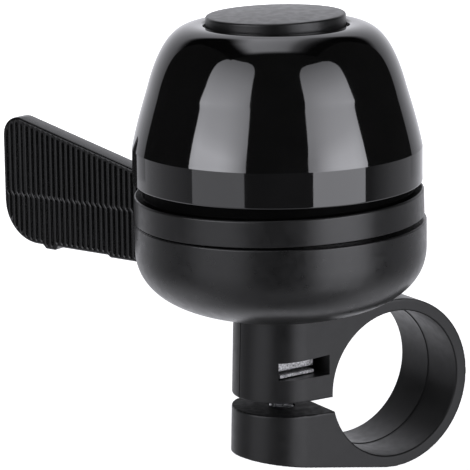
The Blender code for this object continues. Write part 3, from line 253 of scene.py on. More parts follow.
def add_object(name, mesh, material=None):
    """Links a mesh to the scene as an object."""
    obj = bpy.data.objects.new(name, mesh)
    bpy.context.scene.collection.objects.link(obj)
    if material:
        mesh.materials.append(material)
    return obj


def smooth(obj, angle):
    """Smooth faces, with edges that stay sharp above an angle in degrees."""
    obj.data.shade_smooth()
    obj.data.set_sharp_from_angle(angle=math.radians(angle))


def shade(obj, angle=32):
    """Smooth faces with sharp edges, and even tone on the flat faces."""
    smooth(obj, angle)
    weighted = obj.modifiers.new("even_tone", "WEIGHTED_NORMAL")
    weighted.keep_sharp = True


def bake(obj):
    """Replaces an object's mesh by the result of its modifiers."""
    bpy.context.view_layer.update()
    graph = bpy.context.evaluated_depsgraph_get()
    mesh = bpy.data.meshes.new_from_object(obj.evaluated_get(graph))
    obj.modifiers.clear()
    obj.data = mesh


def cut(obj, cutter, operation="DIFFERENCE"):
    """Applies a boolean with a closed shape, which is then removed."""
    boolean = obj.modifiers.new("cut", "BOOLEAN")
    boolean.object = cutter
    boolean.operation = operation
    boolean.solver = "EXACT"
    bake(obj)
    bpy.data.objects.remove(cutter, do_unlink=True)


def soften(points, radii):
    """Rounds the inner corners of an open outline; a radius of 0 leaves a corner sharp."""
    result = []
    for i, (corner, radius) in enumerate(zip(points, radii)):
        if radius == 0 or i in (0, len(points) - 1):
            result.append(tuple(corner))
            continue
        here = Vector(corner)
        before = (Vector(points[i - 1]) - here).normalized()
        after = (Vector(points[i + 1]) - here).normalized()
        half = before.angle(after) / 2
        centre = here + (before + after).normalized() * radius / math.sin(half)
        start = here + before * radius / math.tan(half) - centre
        end = here + after * radius / math.tan(half) - centre
        first = math.atan2(start.y, start.x)
        sweep = math.remainder(math.atan2(end.y, end.x) - first, 2 * math.pi)
        result += arc(centre.x, centre.y, radius, first, first + sweep, 6)
    return result


def arc(x, y, radius, start, end, steps):
    """Points on an arc, with angles in radians and both ends included."""
    return [(x + radius * math.cos(start + (end - start) * k / steps),
             y + radius * math.sin(start + (end - start) * k / steps)) for k in range(steps + 1)]


def revolve(name, profile, material=None, steps=160, centre=None, closed=True, along="Z"):
    """Turns a profile of (radius, height) points about an upright axis, or about one along Y."""
    centre = AXIS if centre is None else centre
    points, faces, rings = [], [], []
    for radius, height in profile:
        if radius < 1e-6:
            rings.append([len(points)] * steps)
            points.append((0, 0, height))
            continue
        rings.append(list(range(len(points), len(points) + steps)))
        for k in range(steps):
            angle = 2 * math.pi * k / steps
            points.append((radius * math.cos(angle), radius * math.sin(angle), height))
    pairs = list(zip(rings, rings[1:] + rings[:1])) if closed else list(zip(rings, rings[1:]))
    for upper, lower in pairs:
        for k in range(steps):
            j = (k + 1) % steps
            corners = list(dict.fromkeys((upper[k], upper[j], lower[j], lower[k])))
            if len(corners) > 2:
                faces.append(corners)
    if along == "Y":
        points = [(x, z, y) for x, y, z in points]
    else:
        points = [(x + centre.x, y + centre.y, z) for x, y, z in points]
    return add_object(name, mesh_of(name, points, faces), material)


def prism(name, outline, low, high, along="Z"):
    """Closed outline between two heights, or between two Y values for a side view."""
    count = len(outline)
    if along == "Z":
        points = [(x, y, low) for x, y in outline] + [(x, y, high) for x, y in outline]
    else:
        points = [(x, low, z) for x, z in outline] + [(x, high, z) for x, z in outline]
    faces = [list(range(count)), list(range(count, 2 * count))]
    faces += [[k, (k + 1) % count, count + (k + 1) % count, count + k] for k in range(count)]
    return add_object(name, mesh_of(name, points, faces))


def lean(obj, degrees, beside, lift):
    """Tips a piece so that its right side, as the camera sees it, stands higher, and lifts it a little.

    It turns about a point at the seam's height, which is moved to the camera's right by beside.
    """
    pivot = AXIS + CAMERA_RIGHT * beside
    about = Matrix.Translation(Vector((*pivot, LEAN_HEIGHT)) * MM)
    towards_camera = Vector((CAMERA_RIGHT.y, -CAMERA_RIGHT.x, 0))
    tip = about @ Matrix.Rotation(math.radians(degrees), 4, towards_camera) @ about.inverted()
    obj.data.transform(Matrix.Translation((0, 0, lift * MM)) @ tip)


def stands_for(piece, body, node):
    """A finished piece rides on a body and replaces a CAD node, which is hidden."""
    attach(piece, body)
    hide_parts(node)


# ---- Dome and cap ----
ROUND = 224  # steps round the large turned pieces
DOME_WALL = 0.6
DOME_TRIM = 0.15  # taken off the CAD radius
DOME_SINK = 0.3  # crown below the CAD dome's top
DOME_SKIRT = 5.25  # upright height between the rim and the crease
CREASE_ROUNDING = 0.15
DOME_TAPER = math.radians(15)
SIDE_BELLY = 0.16  # outward swell of the side above the crease
SHOULDER_LIFT = 14.0  # height above the rim where the shoulder begins
SIDE_HOLD = 0.66  # how long the shoulder keeps the side's direction, as a share of its height
CROWN_HOLD = 0.35  # and the crown's, as a share of its width
SIDE_STEPS = 16
SHOULDER_STEPS = 48
CROWN_RADIUS = 11.8
RECESS_RADIUS = 10.6
RECESS_DEPTH = 1.0
DISH_RADIUS = 7.0
DISH_DEPTH = 2.5
STUD_HOLE = 2.3


def dome_side():
    """Outer half of the dome's section, from the rim up to its crown, as (radius, height) points."""
    radius = DOME_HIGH.x - AXIS.x - DOME_TRIM
    top, rim = DOME_HIGH.z - DOME_SINK, DOME_LOW.z
    crease, turn = rim + DOME_SKIRT, rim + SHOULDER_LIFT
    start = Vector((radius - (turn - crease) * math.tan(DOME_TAPER), turn))
    end = Vector((CROWN_RADIUS, top))
    start_pull = start + Vector((-math.tan(DOME_TAPER), 1)) * SIDE_HOLD * (top - turn)
    end_pull = end + Vector((CROWN_HOLD * (radius - CROWN_RADIUS), 0))
    edge = Vector((radius, crease))
    points = soften([(radius, rim), tuple(edge), tuple(edge.lerp(start, 0.04))],
                    [0, CREASE_ROUNDING, 0])[:-1]
    out = Vector((math.cos(DOME_TAPER), math.sin(DOME_TAPER)))
    for k in range(1, SIDE_STEPS + 1):
        share = k / SIDE_STEPS
        belly = SIDE_BELLY * 4 * share * (1 - share) * (1 - share / 2)
        points.append(tuple(edge.lerp(start, share) + out * belly))
    for k in range(1, SHOULDER_STEPS + 1):
        t = k / SHOULDER_STEPS
        points.append(tuple((1 - t) ** 3 * start + 3 * (1 - t) ** 2 * t * start_pull
                            + 3 * (1 - t) * t * t * end_pull + t ** 3 * end))
    return points


def inside_of(points, wall):
    """The same section moved inwards by the wall."""
    moved = []
    for k, point in enumerate(points):
        along = Vector(points[min(k + 1, len(points) - 1)]) - Vector(points[max(k - 1, 0)])
        along.normalize()
        moved.append((point[0] - along.y * wall, point[1] + along.x * wall))
    return moved


def make_dome():
    """Pressed shell with a rounded rim, a crisp crease above its skirt and a recess for the cap."""
    top = DOME_HIGH.z - DOME_SINK
    recess, floor = top - RECESS_DEPTH, top - RECESS_DEPTH - DISH_DEPTH
    wide_in, deep_in = RECESS_RADIUS + DOME_WALL, DISH_RADIUS + DOME_WALL
    outer = dome_side()
    inner = inside_of(outer, DOME_WALL)
    crown = soften([outer[-1], (RECESS_RADIUS, top), (RECESS_RADIUS, recess), (DISH_RADIUS, recess),
                    (DISH_RADIUS, floor), (STUD_HOLE, floor)], [0, 0.5, 0.25, 0.35, 0.3, 0])
    under = soften([(STUD_HOLE, floor - DOME_WALL), (deep_in, floor - DOME_WALL),
                    (deep_in, recess - DOME_WALL), (wide_in, recess - DOME_WALL),
                    (wide_in, inner[-1][1] - 0.02), inner[-1]], [0, 0.9, 0.2, 0.5, 0, 0])
    middle_radius = outer[0][0] - DOME_WALL / 2
    rim = arc(middle_radius, DOME_LOW.z + DOME_WALL / 2, DOME_WALL / 2, -math.pi, 0, 10)
    profile = rim + outer[1:-1] + crown + under[:-1] + inner[::-1][:-1]
    dome = revolve("dome_shell", profile, GLOSS, ROUND, AXIS + DOME_PLAY)
    shade(dome, 40)
    stands_for(dome, "body", "dome")


CAP_SPREAD = 0.1  # added to the CAD radius
CAP_CROWN = 0.3  # rise of its top from edge to middle
CROWN_STEPS = 10
CAP_SEAT = 0.1
CAP_PLUG = 6.7
CAP_WALL = 1.1
CAP_PLUG_WALL = 1.0


def make_cap():
    """Shallow press-in cap with a slightly crowned top and a small rounded edge."""
    radius = CAP_HIGH.x - AXIS.x + CAP_SPREAD
    top, low, seat = CAP_HIGH.z, CAP_LOW.z, DOME_HIGH.z - DOME_SINK - RECESS_DEPTH + CAP_SEAT
    hollow, ceiling = CAP_PLUG - CAP_PLUG_WALL, top - CAP_WALL
    crown = [(radius * k / CROWN_STEPS, top - CAP_CROWN * (k / CROWN_STEPS) ** 2)
             for k in range(CROWN_STEPS + 1)]
    outline = soften([crown[-2], crown[-1], (radius, seat), (CAP_PLUG, seat), (CAP_PLUG, low), (hollow, low),
                      (hollow, ceiling), (0, ceiling)], [0, 0.32, 0.12, 0.1, 0.25, 0.2, 0.2, 0])
    cap = revolve("cap_moulding", crown[:-2] + outline, CAP_PLASTIC, centre=AXIS + CAP_PLAY, closed=False)
    lean(cap, *CAP_LEAN)
    shade(cap)
    stands_for(cap, "body", "dome_cap")


# ---- Cover ring and lower bowl ----
POSTS = ("cover_post_1", "cover_post_2", "cover_post_3")
LEVER_THICKNESS = 3.3
# the window: room round the lever's neck, the neck's heights, and reach from the lever's pivot
RUN_GAP = 0.4
NECK_TOP = 25.5
NECK_BOTTOM = 20.0
WINDOW_REACH = 14.8
# the cover: radii, heights and the countersinks for its screws
HUB_HOLE = 3.7
SPIGOT_OUT = 19.55
SPIGOT_IN = 18.55
SPIGOT_HEIGHT = 1.0
COVER_CEILING = 1.4
SINK_RADIUS = 2.4
SINK_HOLE = 1.3
SINK_DEPTH = 1.1
BAND_HEIGHT = 3.9
COLLAR_INSET = 1.4
WALL = 1.8
# outside of the bowl: a superellipse between its flat foot and its upright lip
BOWL_TRIM = 0.06
BOWL_LIFT = 0.35
BOWL_FOOT = 4.2
BOWL_UPRIGHT = 3.7
BOWL_FULLNESS = 2.36
BOWL_STEPS = 40
# inside of the bowl: radius of its ledge for the plate, and heights above its underside
LEDGE = 13.0
LEDGE_HOLE = 1.5
BOWL_FLOOR = 2.0
LEDGE_FOOT = 3.2
LEDGE_TOP = 5.3
SEAT_TOP = 6.8
SEAT_WIDTH = 1.15
SADDLE_GAP = 0.3


def window_shape():
    """Fan that the lever's neck sweeps through the walls of the cover and the bowl."""
    half = LEVER_THICKNESS / 2 + RUN_GAP
    rest = Vector((math.cos(LEVER_HEADING), math.sin(LEVER_HEADING)))
    pushed = Vector((math.cos(LEVER_HEADING - LEVER_TRAVEL), math.sin(LEVER_HEADING - LEVER_TRAVEL)))
    rest_side = Vector((-rest.y, rest.x)) * half
    pushed_side = Vector((pushed.y, -pushed.x)) * half
    outline = [rest_side, pushed_side, pushed_side + pushed * WINDOW_REACH, rest_side + rest * WINDOW_REACH]
    outline = [tuple(PIVOT + point) for point in outline]
    return prism("window", outline, NECK_BOTTOM - RUN_GAP, NECK_TOP + RUN_GAP)


def make_cover():
    """Band above the seam, the ledge on it and the collar that stands up into the dome's shadow, which is
    painted on them as a darker, duller plastic.
    """
    radius = COVER_HIGH.x - AXIS.x
    top, spigot = COVER_HIGH.z, COVER_LOW.z
    bottom = spigot + SPIGOT_HEIGHT
    band_top = bottom + BAND_HEIGHT
    collar = radius - COLLAR_INSET
    ceiling = top - COVER_CEILING
    profile = soften([(HUB_HOLE, top), (collar, top), (collar, band_top), (radius, band_top),
                      (radius, bottom), (SPIGOT_OUT, bottom), (SPIGOT_OUT, spigot), (SPIGOT_IN, spigot),
                      (SPIGOT_IN, bottom + 1.0), (radius - WALL, bottom + 2.0),
                      (radius - WALL, band_top - WALL), (collar - WALL, band_top - WALL),
                      (collar - WALL, ceiling), (HUB_HOLE, ceiling)],
                     [0, 0.6, 0.25, 0.3, 0.15, 0.1, 0.2, 0.15, 0.3, 0.3, 0.3, 0.3, 0.4, 0])
    cover = revolve("cover_band", profile, BAND_PLASTIC, ROUND, AXIS + COVER_PLAY)
    cut(cover, window_shape())
    for post in POSTS:
        sink = [(0, top + 1), (SINK_RADIUS, top + 1), (SINK_RADIUS, top), (SINK_HOLE, top - SINK_DEPTH),
                (SINK_HOLE, top - 3), (0, top - 3)]
        cut(cover, revolve("countersink", sink, steps=32, centre=middle(post), closed=False))
    # the collar and the inner ledge under the dome's rim get the darker plastic as painted shade
    cover.data.materials.append(COLLAR_SHADE_PLASTIC)
    for face in cover.data.polygons:
        place = face.center / MM
        if place.z > band_top - 0.1 and (place.xy - AXIS).length < radius - 0.6:
            face.material_index = 1
    lean(cover, *COVER_LEAN)
    shade(cover)
    stands_for(cover, "body", "mechanism_cover")


def make_bowl():
    """Round-bottomed bowl with an upright lip, a saddle over the handlebar ring and the lever's window."""
    radius = BOWL_HIGH.x - AXIS.x - BOWL_TRIM
    low, top = BOWL_LOW.z, BOWL_HIGH.z
    base = low + BOWL_LIFT
    wall, seat = radius - WALL, radius - WALL - SEAT_WIDTH
    floor, ledge_top = low + BOWL_FLOOR, low + LEDGE_TOP
    curve_top = top - BOWL_UPRIGHT
    bottom = []
    for k in range(BOWL_STEPS + 1):
        angle = math.pi / 2 * k / BOWL_STEPS
        bottom.append((BOWL_FOOT + (radius - BOWL_FOOT) * math.cos(angle) ** (2 / BOWL_FULLNESS),
                       curve_top - (curve_top - base) * math.sin(angle) ** (2 / BOWL_FULLNESS)))
    lip = soften([(wall, top), (radius, top), (radius, curve_top)], [0, 0.25, 0])
    inside = soften([(STUD_HOLE, base), (STUD_HOLE, floor), (LEDGE - 2, floor), (LEDGE, low + LEDGE_FOOT),
                     (LEDGE, ledge_top), (seat, ledge_top), (seat, low + SEAT_TOP), (wall, curve_top),
                     (wall, top)], [0, 0.2, 0.8, 0.4, 0.2, 0.15, 0.2, 0.5, 0])
    bowl = revolve("bowl_moulding", lip[:-1] + bottom + inside[:-1], BOWL_PLASTIC, ROUND, AXIS + BOWL_PLAY)
    ring = CLAMP_HIGH.x + SADDLE_GAP
    saddle = [(0, radius), (ring, radius), (ring, -radius), (0, -radius)]
    cut(bowl, revolve("saddle", saddle, closed=False, along="Y"))
    cut(bowl, window_shape())
    for post in POSTS:
        hole = [(0, ledge_top + 1), (LEDGE_HOLE, ledge_top + 1), (LEDGE_HOLE, low + 3), (0, low + 3)]
        cut(bowl, revolve("ledge_hole", hole, steps=32, centre=middle(post), closed=False))
    lean(bowl, *BOWL_LEAN)
    shade(bowl)
    stands_for(bowl, "body", "lower_bowl")


# ---- Handlebar clamp and its fasteners ----
BORE = 11.2
BORE_STOCK = 0.45  # left in the bore until the block's edges are rounded
BORE_CREST = 0.08  # narrowing of each half of the bore towards its middle
POST_TOP = 12.2
GAP_TOP = -0.4
GAP_BOTTOM = -2.7
EAR_SLOPE = math.radians(9.5)
EAR_RISE = 0.45
END_TOP = 11.4
RIM_CHAMFER = 0.18
RIDGE_HALF = 0.1
RIDGE_RISE = 0.11
GROOVE_DEPTH = 0.16
SCREW_SEAT = -6.8
END_REACH = 7.0  # of the post's round end beyond the bell's axis
END_SPREAD = 0.9
VOXEL = 0.14
SCREW_HOLE = 2.3
SCREW_HOLE_TOP = 7.4
SCREW_BORE = 2.06
HEAD_ROOM = 3.8
STUD_HOLE_FLOOR = 8.6
# the nut's pocket: heights of its floor and roof at each end, and its room round the nut
POCKET_LEFT = (3.12, 5.75)
POCKET_RIGHT = (3.22, 6.25)
POCKET_ROOM = 0.35
FAR = 20.0  # a cutter's far end, well outside the piece


def end_reach(z):
    """How far the clamp's round end stands out from the bell's axis at a height."""
    return END_REACH + END_SPREAD * (END_TOP - z) / (END_TOP + CLAMP_HIGH.x)


def clamp_block():
    """Ring, upright post, slit and lower ear, with flat sides and a rounded end that widens downwards."""
    ring, half = CLAMP_HIGH.x, CLAMP_HIGH.y
    left = CLAMP_LOW.x
    stock = BORE - BORE_STOCK
    tangent = -math.pi / 2 - EAR_SLOPE
    tangent_x, tangent_z = ring * math.cos(tangent), ring * math.sin(tangent)
    ear_low = tangent_z + (tangent_x - left) * math.tan(EAR_SLOPE)
    bore_start = math.pi - math.asin(GAP_TOP / stock)
    bore_end = -math.pi - math.asin(GAP_BOTTOM / stock)
    outline = [(left, POST_TOP), (left, GAP_TOP)]
    outline += arc(0, 0, stock, bore_start, bore_end, 96)
    outline += [(left, GAP_BOTTOM + EAR_RISE), (left, ear_low)]
    outline += arc(0, 0, ring, tangent, math.pi - math.asin(POST_TOP / ring), 120)
    beyond = half + 1
    block = prism("clamp_moulding", outline, -beyond, beyond, along="Y")
    bpy.context.view_layer.update()
    plan = arc(AXIS.x, 0, half, math.pi / 2, 1.5 * math.pi, 48)
    plan += [(2 * BORE, -half), (2 * BORE, half)]
    shape = prism("plan", plan, -ring, ring)
    for vertex in shape.data.vertices:
        over = AXIS.x - vertex.co.x / MM
        if over > 0:
            vertex.co.x = (AXIS.x - over * end_reach(vertex.co.z / MM) / half) * MM
    cut(block, shape, "INTERSECT")
    return block


def bore_shape():
    """Bore whose two halves narrow to a fine moulded ridge at the parting plane."""
    half, beyond = CLAMP_HIGH.y, CLAMP_HIGH.y + 1
    side = [(BORE + RIM_CHAMFER + 1, beyond), (BORE + RIM_CHAMFER, half), (BORE, half - RIM_CHAMFER)]
    for y in (half - 1, half / 2, 1, 2.5 * RIDGE_HALF, RIDGE_HALF):
        side.append((BORE - BORE_CREST * (1 - y / half), y))
    side.append((BORE - BORE_CREST - RIDGE_RISE, 0))
    other = [(radius, -y) for radius, y in side[-2::-1]]
    return revolve("bore", [(0, beyond)] + side + other + [(0, -beyond)], steps=192, closed=False, along="Y")


def parting_groove():
    """Hairline groove that the mould's parting plane leaves down the post's round end."""
    line = []
    for z in (POST_TOP + 1, GAP_TOP - 0.1):
        line.append((AXIS.x - end_reach(z) + GROOVE_DEPTH, z))
    outline = [(line[0][0] - 2, line[0][1])] + line + [(line[1][0] - 2, line[1][1])]
    return prism("parting", outline, -GROOVE_DEPTH / 2, GROOVE_DEPTH / 2, along="Y")


def make_clamp():
    """One moulding in matt plastic, with the small radii that a mould leaves on every edge."""
    clamp = clamp_block()
    even = clamp.modifiers.new("even", "REMESH")
    even.mode = "VOXEL"
    even.voxel_size = VOXEL * MM
    radii = clamp.modifiers.new("mould_radius", "SMOOTH")
    radii.factor = 0.5
    radii.iterations = 6
    fewer = clamp.modifiers.new("fewer", "DECIMATE")
    fewer.ratio = 0.35
    bake(clamp)
    cut(clamp, bore_shape())
    cut(clamp, parting_groove())
    left, right = NUT_LOW.x - 2 * POCKET_ROOM, NUT_HIGH.x + POCKET_ROOM
    pocket = [(left, POCKET_LEFT[0]), (right, POCKET_RIGHT[0]),
              (right, POCKET_RIGHT[1]), (left, POCKET_LEFT[1])]
    cut(clamp, prism("pocket", pocket, -FAR, NUT_HIGH.y + POCKET_ROOM, along="Y"))
    screw = [(0, SCREW_HOLE_TOP), (SCREW_HOLE, SCREW_HOLE_TOP), (SCREW_HOLE, 0), (SCREW_BORE, 0),
             (SCREW_BORE, SCREW_SEAT), (HEAD_ROOM, SCREW_SEAT), (HEAD_ROOM, -FAR), (0, -FAR)]
    cut(clamp, revolve("screw_hole", screw, steps=48, closed=False))
    stud = [(0, FAR), (STUD_HOLE, FAR), (STUD_HOLE, STUD_HOLE_FLOOR), (0, STUD_HOLE_FLOOR)]
    cut(clamp, revolve("stud_hole", stud, steps=48, closed=False))
    clamp.data.materials.clear()
    clamp.data.materials.append(CLAMP_PLASTIC)
    clamp.data.materials.append(SLIT_SHADE_PLASTIC)
    # the flat faces inside the slit get the darker plastic as painted shade
    for face in clamp.data.polygons:
        place = face.center / MM
        in_slit = GAP_BOTTOM - 0.15 < place.z < GAP_TOP + 0.15 and place.x < 1 - BORE
        if in_slit and abs(face.normal.z) > 0.85:
            face.material_index = 1
    smooth(clamp, 38)
    stands_for(clamp, "body", "handlebar_clamp")


NUT_TURN = math.radians(4)
THREAD_RADIUS = 1.9
THREAD_PITCH = 0.7
THREAD_DEPTH = 0.32
THREAD_RUN_OUT = 0.5
THREAD_TAPER = 0.3
HEAD_HEIGHT = 2.4
CROSS_LENGTH = 5.0
CROSS_WIDTH = 1.0
CROSS_DEPTH = 1.2


def threaded(name, low, high, material):
    """A round bar along the bell's axis with a V thread cut into it, closed at both ends."""
    per_pitch, around = 8, 40
    rows = int((high - low) / THREAD_PITCH * per_pitch)
    points, faces = [], []
    for row in range(rows + 1):
        z = low + (high - low) * row / rows
        full = min(1.0, (high - z) / THREAD_RUN_OUT, (z - low) / THREAD_RUN_OUT + 0.2)
        for k in range(around):
            phase = (z / THREAD_PITCH - k / around) % 1.0
            groove = 1 - abs(2 * phase - 1)
            r = THREAD_RADIUS - THREAD_DEPTH * groove - THREAD_TAPER * (1 - max(0.0, full))
            angle = 2 * math.pi * k / around
            points.append((AXIS.x + r * math.cos(angle), r * math.sin(angle), z))
    for row in range(rows):
        for k in range(around):
            j = (k + 1) % around
            a, b = row * around, (row + 1) * around
            faces.append([a + k, a + j, b + j, b + k])
    faces.append(list(range(around)))
    faces.append(list(range(rows * around, (rows + 1) * around)))
    return add_object(name, mesh_of(name, points, faces), material)


def bevelled_slab(name, low, high, edge):
    """Steel plate with softened edges and a hole for the screw, turned a little about the screw."""
    outline = [(low.x, low.y), (high.x, low.y), (high.x, high.y), (low.x, high.y)]
    slab = prism(name, outline, low.z, high.z)
    hole = [(0, FAR), (SCREW_HOLE, FAR), (SCREW_HOLE, -FAR), (0, -FAR)]
    cut(slab, revolve("hole", hole, steps=48, closed=False))
    bevel = slab.modifiers.new("edge", "BEVEL")
    bevel.width = edge * MM
    bevel.segments = 3
    bevel.limit_method = "ANGLE"
    bevel.angle_limit = math.radians(50)
    bake(slab)
    slab.data.materials.clear()
    slab.data.materials.append(NUT_STEEL)
    about = Matrix.Translation((AXIS.x * MM, 0, 0))
    slab.data.transform(about @ Matrix.Rotation(NUT_TURN, 4, "Z") @ about.inverted())
    shade(slab, 40)
    return slab


def make_fasteners():
    """Cross-slotted screw with a rolled thread, the square nut and the plate under it.

    The nut and its plate lie a little to one side of their CAD solids, in the play of their pocket.
    """
    plate = bevelled_slab("nut_plate_pressing", NUT_PLATE_LOW - Vector((0.6, -0.2, 0.4)),
                          NUT_PLATE_HIGH - Vector((1.4, 0.6, 0.3)), 0.12)
    stands_for(plate, "body", "nut_plate")
    nut = bevelled_slab("square_nut", NUT_LOW - Vector((0.6, 1.1, 0.3)),
                        NUT_HIGH - Vector((0.9, 0.6, 0.1)), 0.22)
    stands_for(nut, "body", "clamp_nut")

    low = SCREW_LOW.z
    seat = low + HEAD_HEIGHT
    radius = SCREW_HIGH.x - AXIS.x
    head = soften([(0, seat), (radius, seat), (radius, low + 0.6), (radius - 0.6, low), (0, low)],
                  [0, 0.15, 0.35, 0.3, 0])
    screw = revolve("screw_head", head, ZINC, 64, closed=False)
    for wide, deep in ((CROSS_LENGTH / 2, CROSS_WIDTH / 2), (CROSS_WIDTH / 2, CROSS_LENGTH / 2)):
        slot = [(AXIS.x - wide, -deep), (AXIS.x + wide, -deep), (AXIS.x + wide, deep), (AXIS.x - wide, deep)]
        cut(screw, prism("slot", slot, low - CROSS_DEPTH, low + CROSS_DEPTH))
    shade(screw, 35)
    thread = threaded("screw_thread", seat - 0.2, SCREW_HIGH.z, ZINC)
    smooth(thread, 50)
    thread.parent = screw
    stands_for(screw, "body", "clamp_screw")


# ---- Thumb lever ----
# the paddle: distances from the lever's pivot, and heights
PADDLE_ROOT = 10.2
PADDLE_TIP = 38.9
PADDLE_LOW = 16.6
ROOT_DROP = 0.35
STEP_AT = 17.8
BOSS_AT = 29.8
BOSS_HALF = 1.6
BOSS_DROP = 0.6
ROOT_TOP = 30.15
TOP_ANGLE = math.radians(14)
TOP_SLOPE = math.tan(TOP_ANGLE)
TOP_CORNER = 3.0
LOWER_CORNER = 6.5
RIB_PITCH = 1.042
RIB_START = 9.94
RIB_DEPTH = 0.42
RIB_FULLNESS = 0.96
JOG_HEIGHT = 24.3
PADDLE_ROUNDING = 0.45


def smoothstep(value, start, end):
    """Smooth run from 0 to 1 between two values."""
    t = np.clip((value - start) / (end - start), 0, 1)
    return t * t * (3 - 2 * t)


def paddle_edges(s):
    """Lower and upper edge of the paddle at a distance from the pivot."""
    low = PADDLE_LOW - ROOT_DROP * (1 - smoothstep(s, STEP_AT - 0.1, STEP_AT + ROOT_DROP + 0.1))
    low = low - BOSS_DROP * smoothstep(BOSS_HALF - np.abs(s - BOSS_AT), 0.0, BOSS_HALF / 2)
    high = ROOT_TOP + (s - PADDLE_ROOT) * TOP_SLOPE
    centre = PADDLE_TIP - LOWER_CORNER
    over = np.clip((s - centre) / LOWER_CORNER, 0, 1)
    low = np.where(s > centre, PADDLE_LOW + LOWER_CORNER * (1 - np.sqrt(1 - over ** 2)), low)
    centre_s = PADDLE_TIP - TOP_CORNER
    centre_z = ROOT_TOP + (centre_s - PADDLE_ROOT) * TOP_SLOPE - TOP_CORNER / math.cos(TOP_ANGLE)
    start = centre_s - TOP_CORNER * math.sin(TOP_ANGLE)
    bend = np.sqrt(np.clip(TOP_CORNER ** 2 - (s - centre_s) ** 2, 0, None))
    high = np.where(s > start, centre_z + bend, high)
    return low, high


def tip_columns(count):
    """Distances from the pivot over the rounded tip, closest together where its lower corner begins."""
    return PADDLE_TIP - LOWER_CORNER * np.cos(np.linspace(0, math.pi / 2, count))


def edge_distance(s, z):
    """Distance from points of the paddle to its outline."""
    walk = np.concatenate([np.linspace(PADDLE_ROOT, PADDLE_TIP - LOWER_CORNER, 160), tip_columns(90)])
    low, high = paddle_edges(walk)
    ring = np.concatenate([np.stack([walk, low], 1), np.stack([walk, high], 1)[::-1]])
    nearest = np.full(s.shape, 1e9)
    for a, b in zip(ring, np.roll(ring, -1, 0)):
        along = b - a
        length = max(float(along @ along), 1e-12)
        t = np.clip(((s - a[0]) * along[0] + (z - a[1]) * along[1]) / length, 0, 1)
        nearest = np.minimum(nearest, np.hypot(s - a[0] - t * along[0], z - a[1] - t * along[1]))
    return nearest


def rib_relief(s, z, edge):
    """Depth of the grooves between the ribs, which shift by half a pitch and fade out at the edge."""
    jog = 0.5 * smoothstep(-z, -JOG_HEIGHT - 0.4, -JOG_HEIGHT + 0.4)
    phase = (s - RIB_START) / RIB_PITCH + jog
    across = np.abs(2 * (phase - np.floor(phase)) - 1)
    round_top = 1 - np.sqrt(np.clip(1 - (RIB_FULLNESS * across) ** 2, 0, 1))
    deepest = 1 - math.sqrt(1 - RIB_FULLNESS ** 2)
    return RIB_DEPTH * round_top / deepest * smoothstep(edge, PADDLE_ROUNDING, PADDLE_ROUNDING + 0.4)


def make_paddle():
    """Ribbed thumb piece as a fine grid over its side view, with rounded edges and a plain back."""
    half, rounding = LEVER_THICKNESS / 2, PADDLE_ROUNDING
    fine = rounding * np.array([0, 0.06, 0.18, 0.36, 0.62, 1.0])
    straight = np.arange(PADDLE_ROOT + rounding, PADDLE_TIP - LOWER_CORNER, RIB_PITCH / 12)
    columns = np.concatenate([PADDLE_ROOT + fine[:-1], straight, tip_columns(96)])
    low, high = paddle_edges(columns)
    share = np.linspace(0, 1, 96)
    rows = []
    for lowest, highest in zip(low, high):
        inner = lowest + rounding + share * (highest - lowest - 2 * rounding)
        rows.append(np.concatenate([lowest + fine[:-1], inner, highest - fine[::-1][1:]]))
    z = np.array(rows)
    s = np.repeat(columns[:, None], z.shape[1], 1)
    edge = edge_distance(s, z)
    roll = np.clip(rounding - edge, 0, rounding)
    fall = rounding - np.sqrt(np.clip(rounding ** 2 - roll ** 2, 0, None))
    front = half - fall - rib_relief(s, z, edge)
    back = -(half - fall)
    wide, tall = z.shape
    points = [(s[i, j], side[i, j], z[i, j])
              for side in (front, back) for i in range(wide) for j in range(tall)]
    offset = wide * tall
    faces = []
    for i in range(wide - 1):
        for j in range(tall - 1):
            a, b = i * tall + j, (i + 1) * tall + j
            faces.append([a, b, b + 1, a + 1])
            faces.append([offset + a, offset + a + 1, offset + b + 1, offset + b])
    border = [i * tall for i in range(wide)] + [(wide - 1) * tall + j for j in range(1, tall)]
    border += [i * tall + tall - 1 for i in range(wide - 2, -1, -1)] + [j for j in range(tall - 2, 0, -1)]
    for a, b in zip(border, border[1:] + border[:1]):
        faces.append([a, offset + a, offset + b, b])
    mesh = mesh_of("paddle", points, faces)
    pivot = Matrix.Translation((PIVOT.x * MM, PIVOT.y * MM, 0))
    mesh.transform(pivot @ Matrix.Rotation(LEVER_HEADING, 4, "Z"))
    return mesh


def make_lever():
    """Paddle with its neck, hub and toothed sector in one piece."""
    core = NODES["thumb_lever"].data.copy()
    bm = bmesh.new()
    bm.from_mesh(core)
    direction = Vector((math.cos(LEVER_HEADING), math.sin(LEVER_HEADING), 0))
    plane = Vector((PIVOT.x * MM, PIVOT.y * MM, 0)) + direction * (PADDLE_ROOT - 0.01) * MM
    bmesh.ops.bisect_plane(bm, geom=bm.verts[:] + bm.edges[:] + bm.faces[:], plane_co=plane,
                           plane_no=direction, clear_outer=True)
    bmesh.ops.holes_fill(bm, edges=[edge for edge in bm.edges if edge.is_boundary])
    bm.to_mesh(core)
    bm.free()
    core.materials.clear()
    hub = add_object("lever_core", core, LEVER_PLASTIC)
    shade(hub)
    lever = add_object("lever_moulding", make_paddle(), LEVER_PLASTIC)
    smooth(lever, 60)
    hub.parent = lever
    stands_for(lever, "lever", "thumb_lever")


def make_spring():
    """Return spring: a smooth-shaded copy of the CAD spring in bright steel, which replaces the CAD one."""
    coil = NODES["lever_spring"].data.copy()
    coil.materials.clear()
    spring = add_object("return_spring", coil, STEEL)
    shade(spring, 50)
    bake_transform(spring)
    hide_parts("lever_spring")


